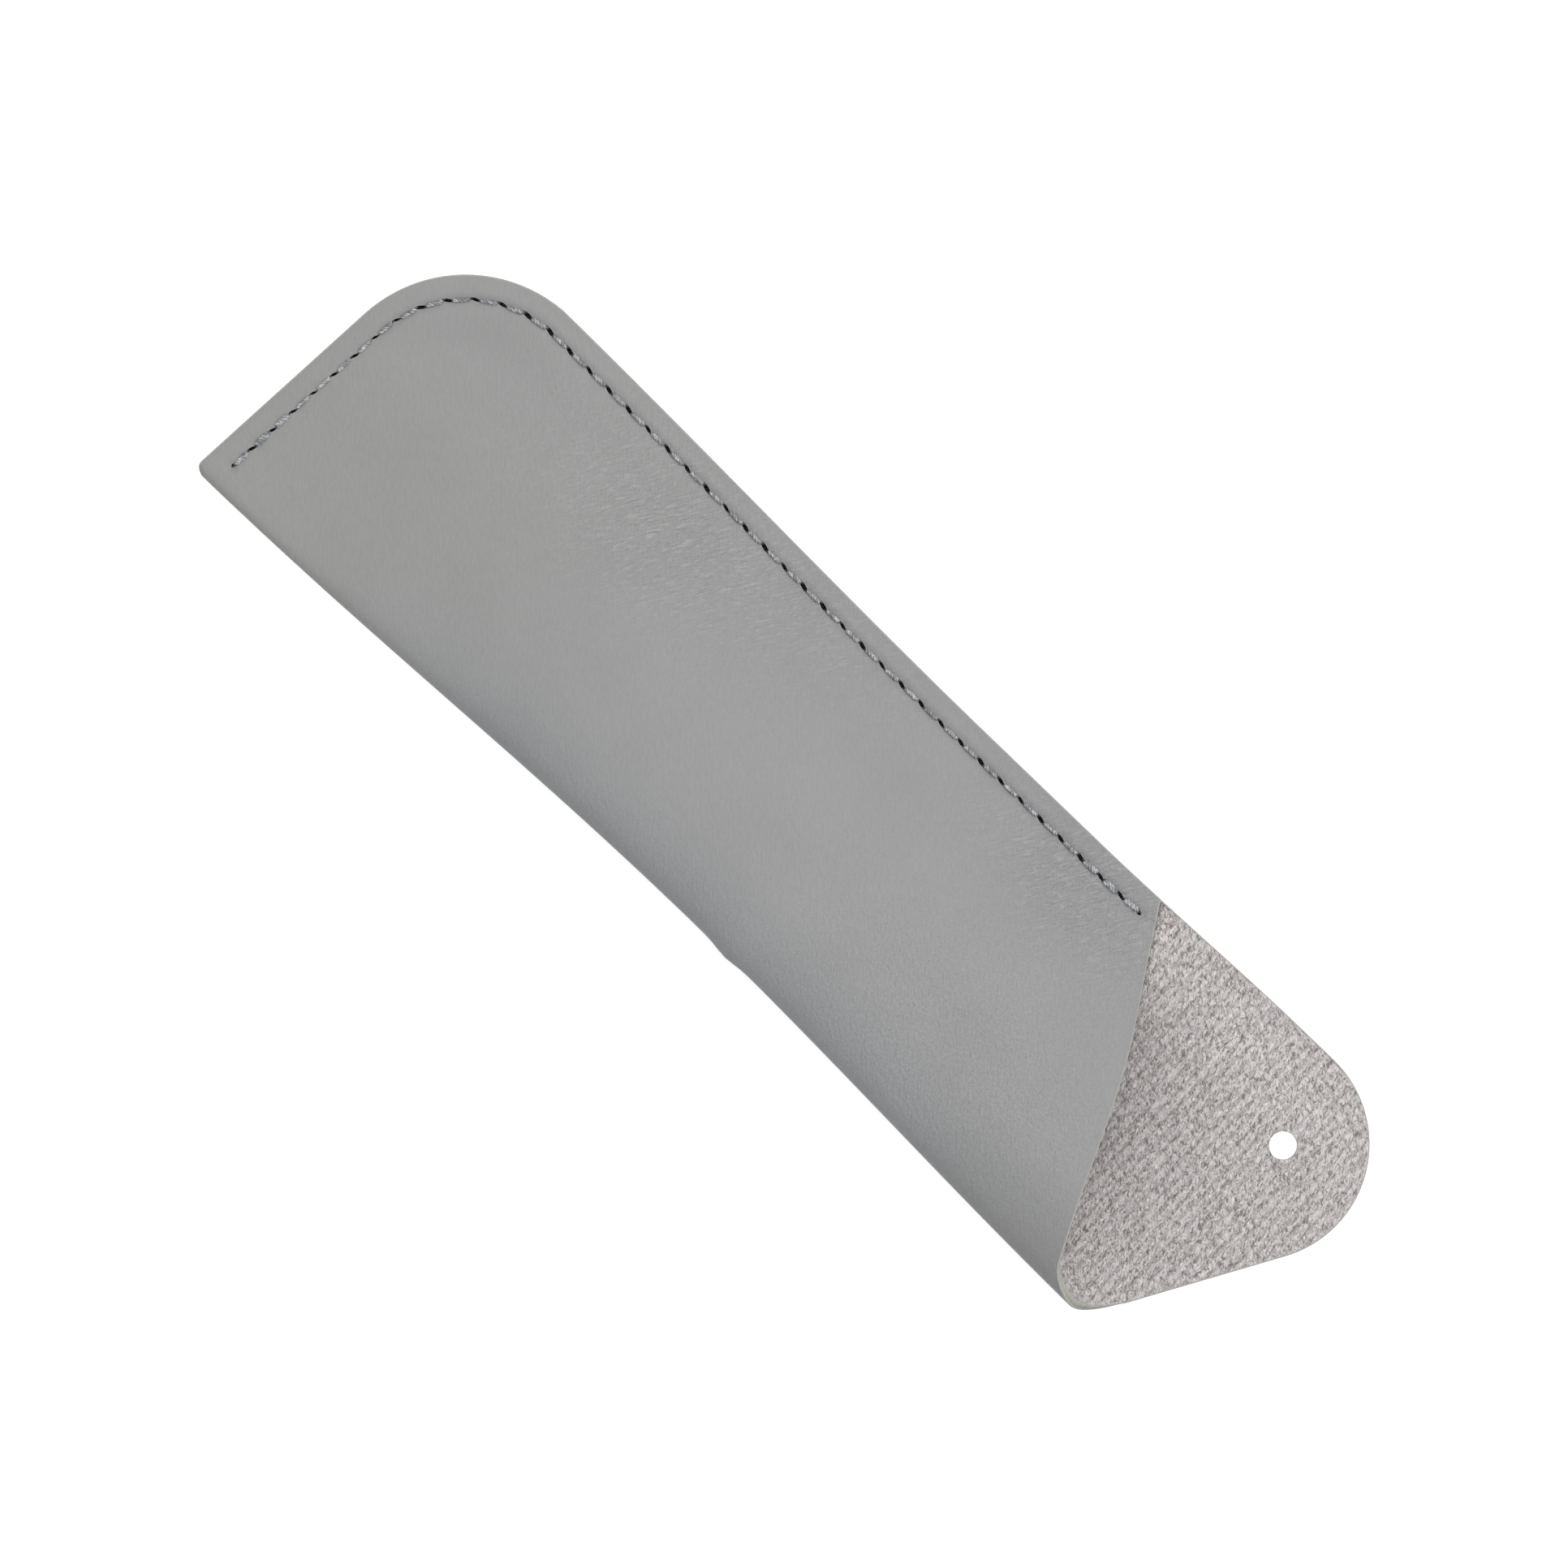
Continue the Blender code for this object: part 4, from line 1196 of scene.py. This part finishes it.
def make_skin(grid):
    skin = layer_object("leather_skin", grid, SKIN_RIM)
    press_seam(skin.data)
    flat = read(skin.data, "flat_mm")
    store(skin.data, "grain", spots(flat, GRAIN_SPOTS, GRAIN_BASE))
    store(skin.data, "wrinkled", spots(flat, WRINKLE_SPOTS))
    for look in (leather_material(), edge_material(), slit_shade_material()):
        skin.data.materials.append(look)
    size = (NEEDLE_SLIT_LENGTH, NEEDLE_SLIT_WIDTH)
    cut_with(skin, hole_cutters(size, SLIT_SLANT, RIM_MIDDLE, RIM_MIDDLE))
    skin.data.shade_smooth()
    skin.data.set_sharp_from_angle(angle=SHARP_ANGLE)
    return skin


def make_lining(grid, edge, dark):
    lining = layer_object("knit_lining", grid, LINING_RIM)
    raise_knit(lining.data)
    # The third material is the painted slit shade, for the walls of the needle holes in the knit
    for look in (lining_material(), edge, dark):
        lining.data.materials.append(look)
    levels = (RIM_LIFT + level for level in KNIT_LEFT)
    cut_with(lining, hole_cutters((LINING_HOLE_WIDTH, LINING_HOLE_WIDTH), 0.0, *levels))
    lining.data.shade_smooth()
    return lining


def bend_across_fold(piece):
    """Bakes the piece's place into its mesh."""
    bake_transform(piece)


# The studio

FLOOR_GLOW = 0.68
FLOOR_COLOUR = (0.72, 0.72, 0.72, 1.0)
FLOOR_SIZE = 3.0
FLOOR_DROP = 0.02 * MM
AMBIENT = 0.55
KEY_POWER = 5.0
KEY_SIZE = 0.95
KEY_PLACE = (0.1, 0.34, 0.85)
LENS = 200.0
SENSOR_WIDTH = 36.0
FRAME_WIDTH = 203.8 * MM
VIEW_CENTRE = (-3.97 * MM, -0.5 * MM)
VIEW_TURN = math.atan2(0.6932, 0.7208)


def make_floor():
    """A white table that keeps the pouch's shadow; its glow is for the camera and for reflections."""
    bpy.ops.mesh.primitive_plane_add(size=FLOOR_SIZE, location=(0.0, 0.0, -FLOOR_DROP))
    floor = bpy.context.object
    floor.name = "floor"
    make = Nodes(bpy.data.materials.new("white_table"))
    path = make.node("LightPath").outputs
    seen = make.math("MAXIMUM", path["Is Camera Ray"], path["Is Glossy Ray"])
    seen = make.math("MAXIMUM", seen, path["Is Transmission Ray"])
    glow = make.times(seen, FLOOR_GLOW)
    fixed = {"Base_Color": FLOOR_COLOUR, "Roughness": 0.9, "Specular_IOR_Level": 0.0}
    floor.data.materials.append(make.finish(Emission_Color=WHITE, Emission_Strength=glow, **fixed))


def make_world():
    """Even light from all sides, white where the camera sees it."""
    world = bpy.data.worlds.new("studio")
    bpy.context.scene.world = world
    make = Nodes(world)
    path = make.node("LightPath").outputs
    seen = make.math("MAXIMUM", path["Is Camera Ray"], path["Is Transmission Ray"])
    strength = make.node("MapRange", {"Value": seen, "To Min": AMBIENT, "To Max": 1.0}).outputs["Result"]
    background = make.tree.nodes["Background"].inputs
    make.put(background["Strength"], strength)
    make.put(background["Color"], WHITE)


def make_key():
    light = bpy.data.lights.new("key", "AREA")
    light.size = KEY_SIZE
    light.energy = KEY_POWER
    key = add_object("key", light)
    key.location = KEY_PLACE
    key.rotation_euler = Vector(KEY_PLACE).to_track_quat("Z", "Y").to_euler()


def make_camera():
    """A camera straight above, turned as the photograph is."""
    data = bpy.data.cameras.new("camera")
    data.lens = LENS
    data.sensor_width = SENSOR_WIDTH
    camera = add_object("camera", data)
    camera.location = (*VIEW_CENTRE, FRAME_WIDTH * LENS / SENSOR_WIDTH)
    camera.rotation_euler = (0.0, 0.0, VIEW_TURN)
    bpy.context.scene.camera = camera


make_camera()
make_world()
make_key()
make_floor()
blank = blank_grid()

skin = make_skin(blank)
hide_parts("pouch_skin", "flap_skin")
bend_across_fold(skin)

lining = make_lining(blank, skin.data.materials[1], skin.data.materials[2])
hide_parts("pouch_lining", "flap_lining")
bend_across_fold(lining)

needle = thread_object("needle_thread_twist", 1.0)
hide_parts("needle_thread")
bobbin = thread_object("bobbin_thread_twist", -1.0)
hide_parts("bobbin_thread")
thread_look = thread_material()
for thread in (needle, bobbin):
    thread.data.materials.append(thread_look)
    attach(thread, "pouch")

bpy.context.scene.view_settings.view_transform = "Standard"
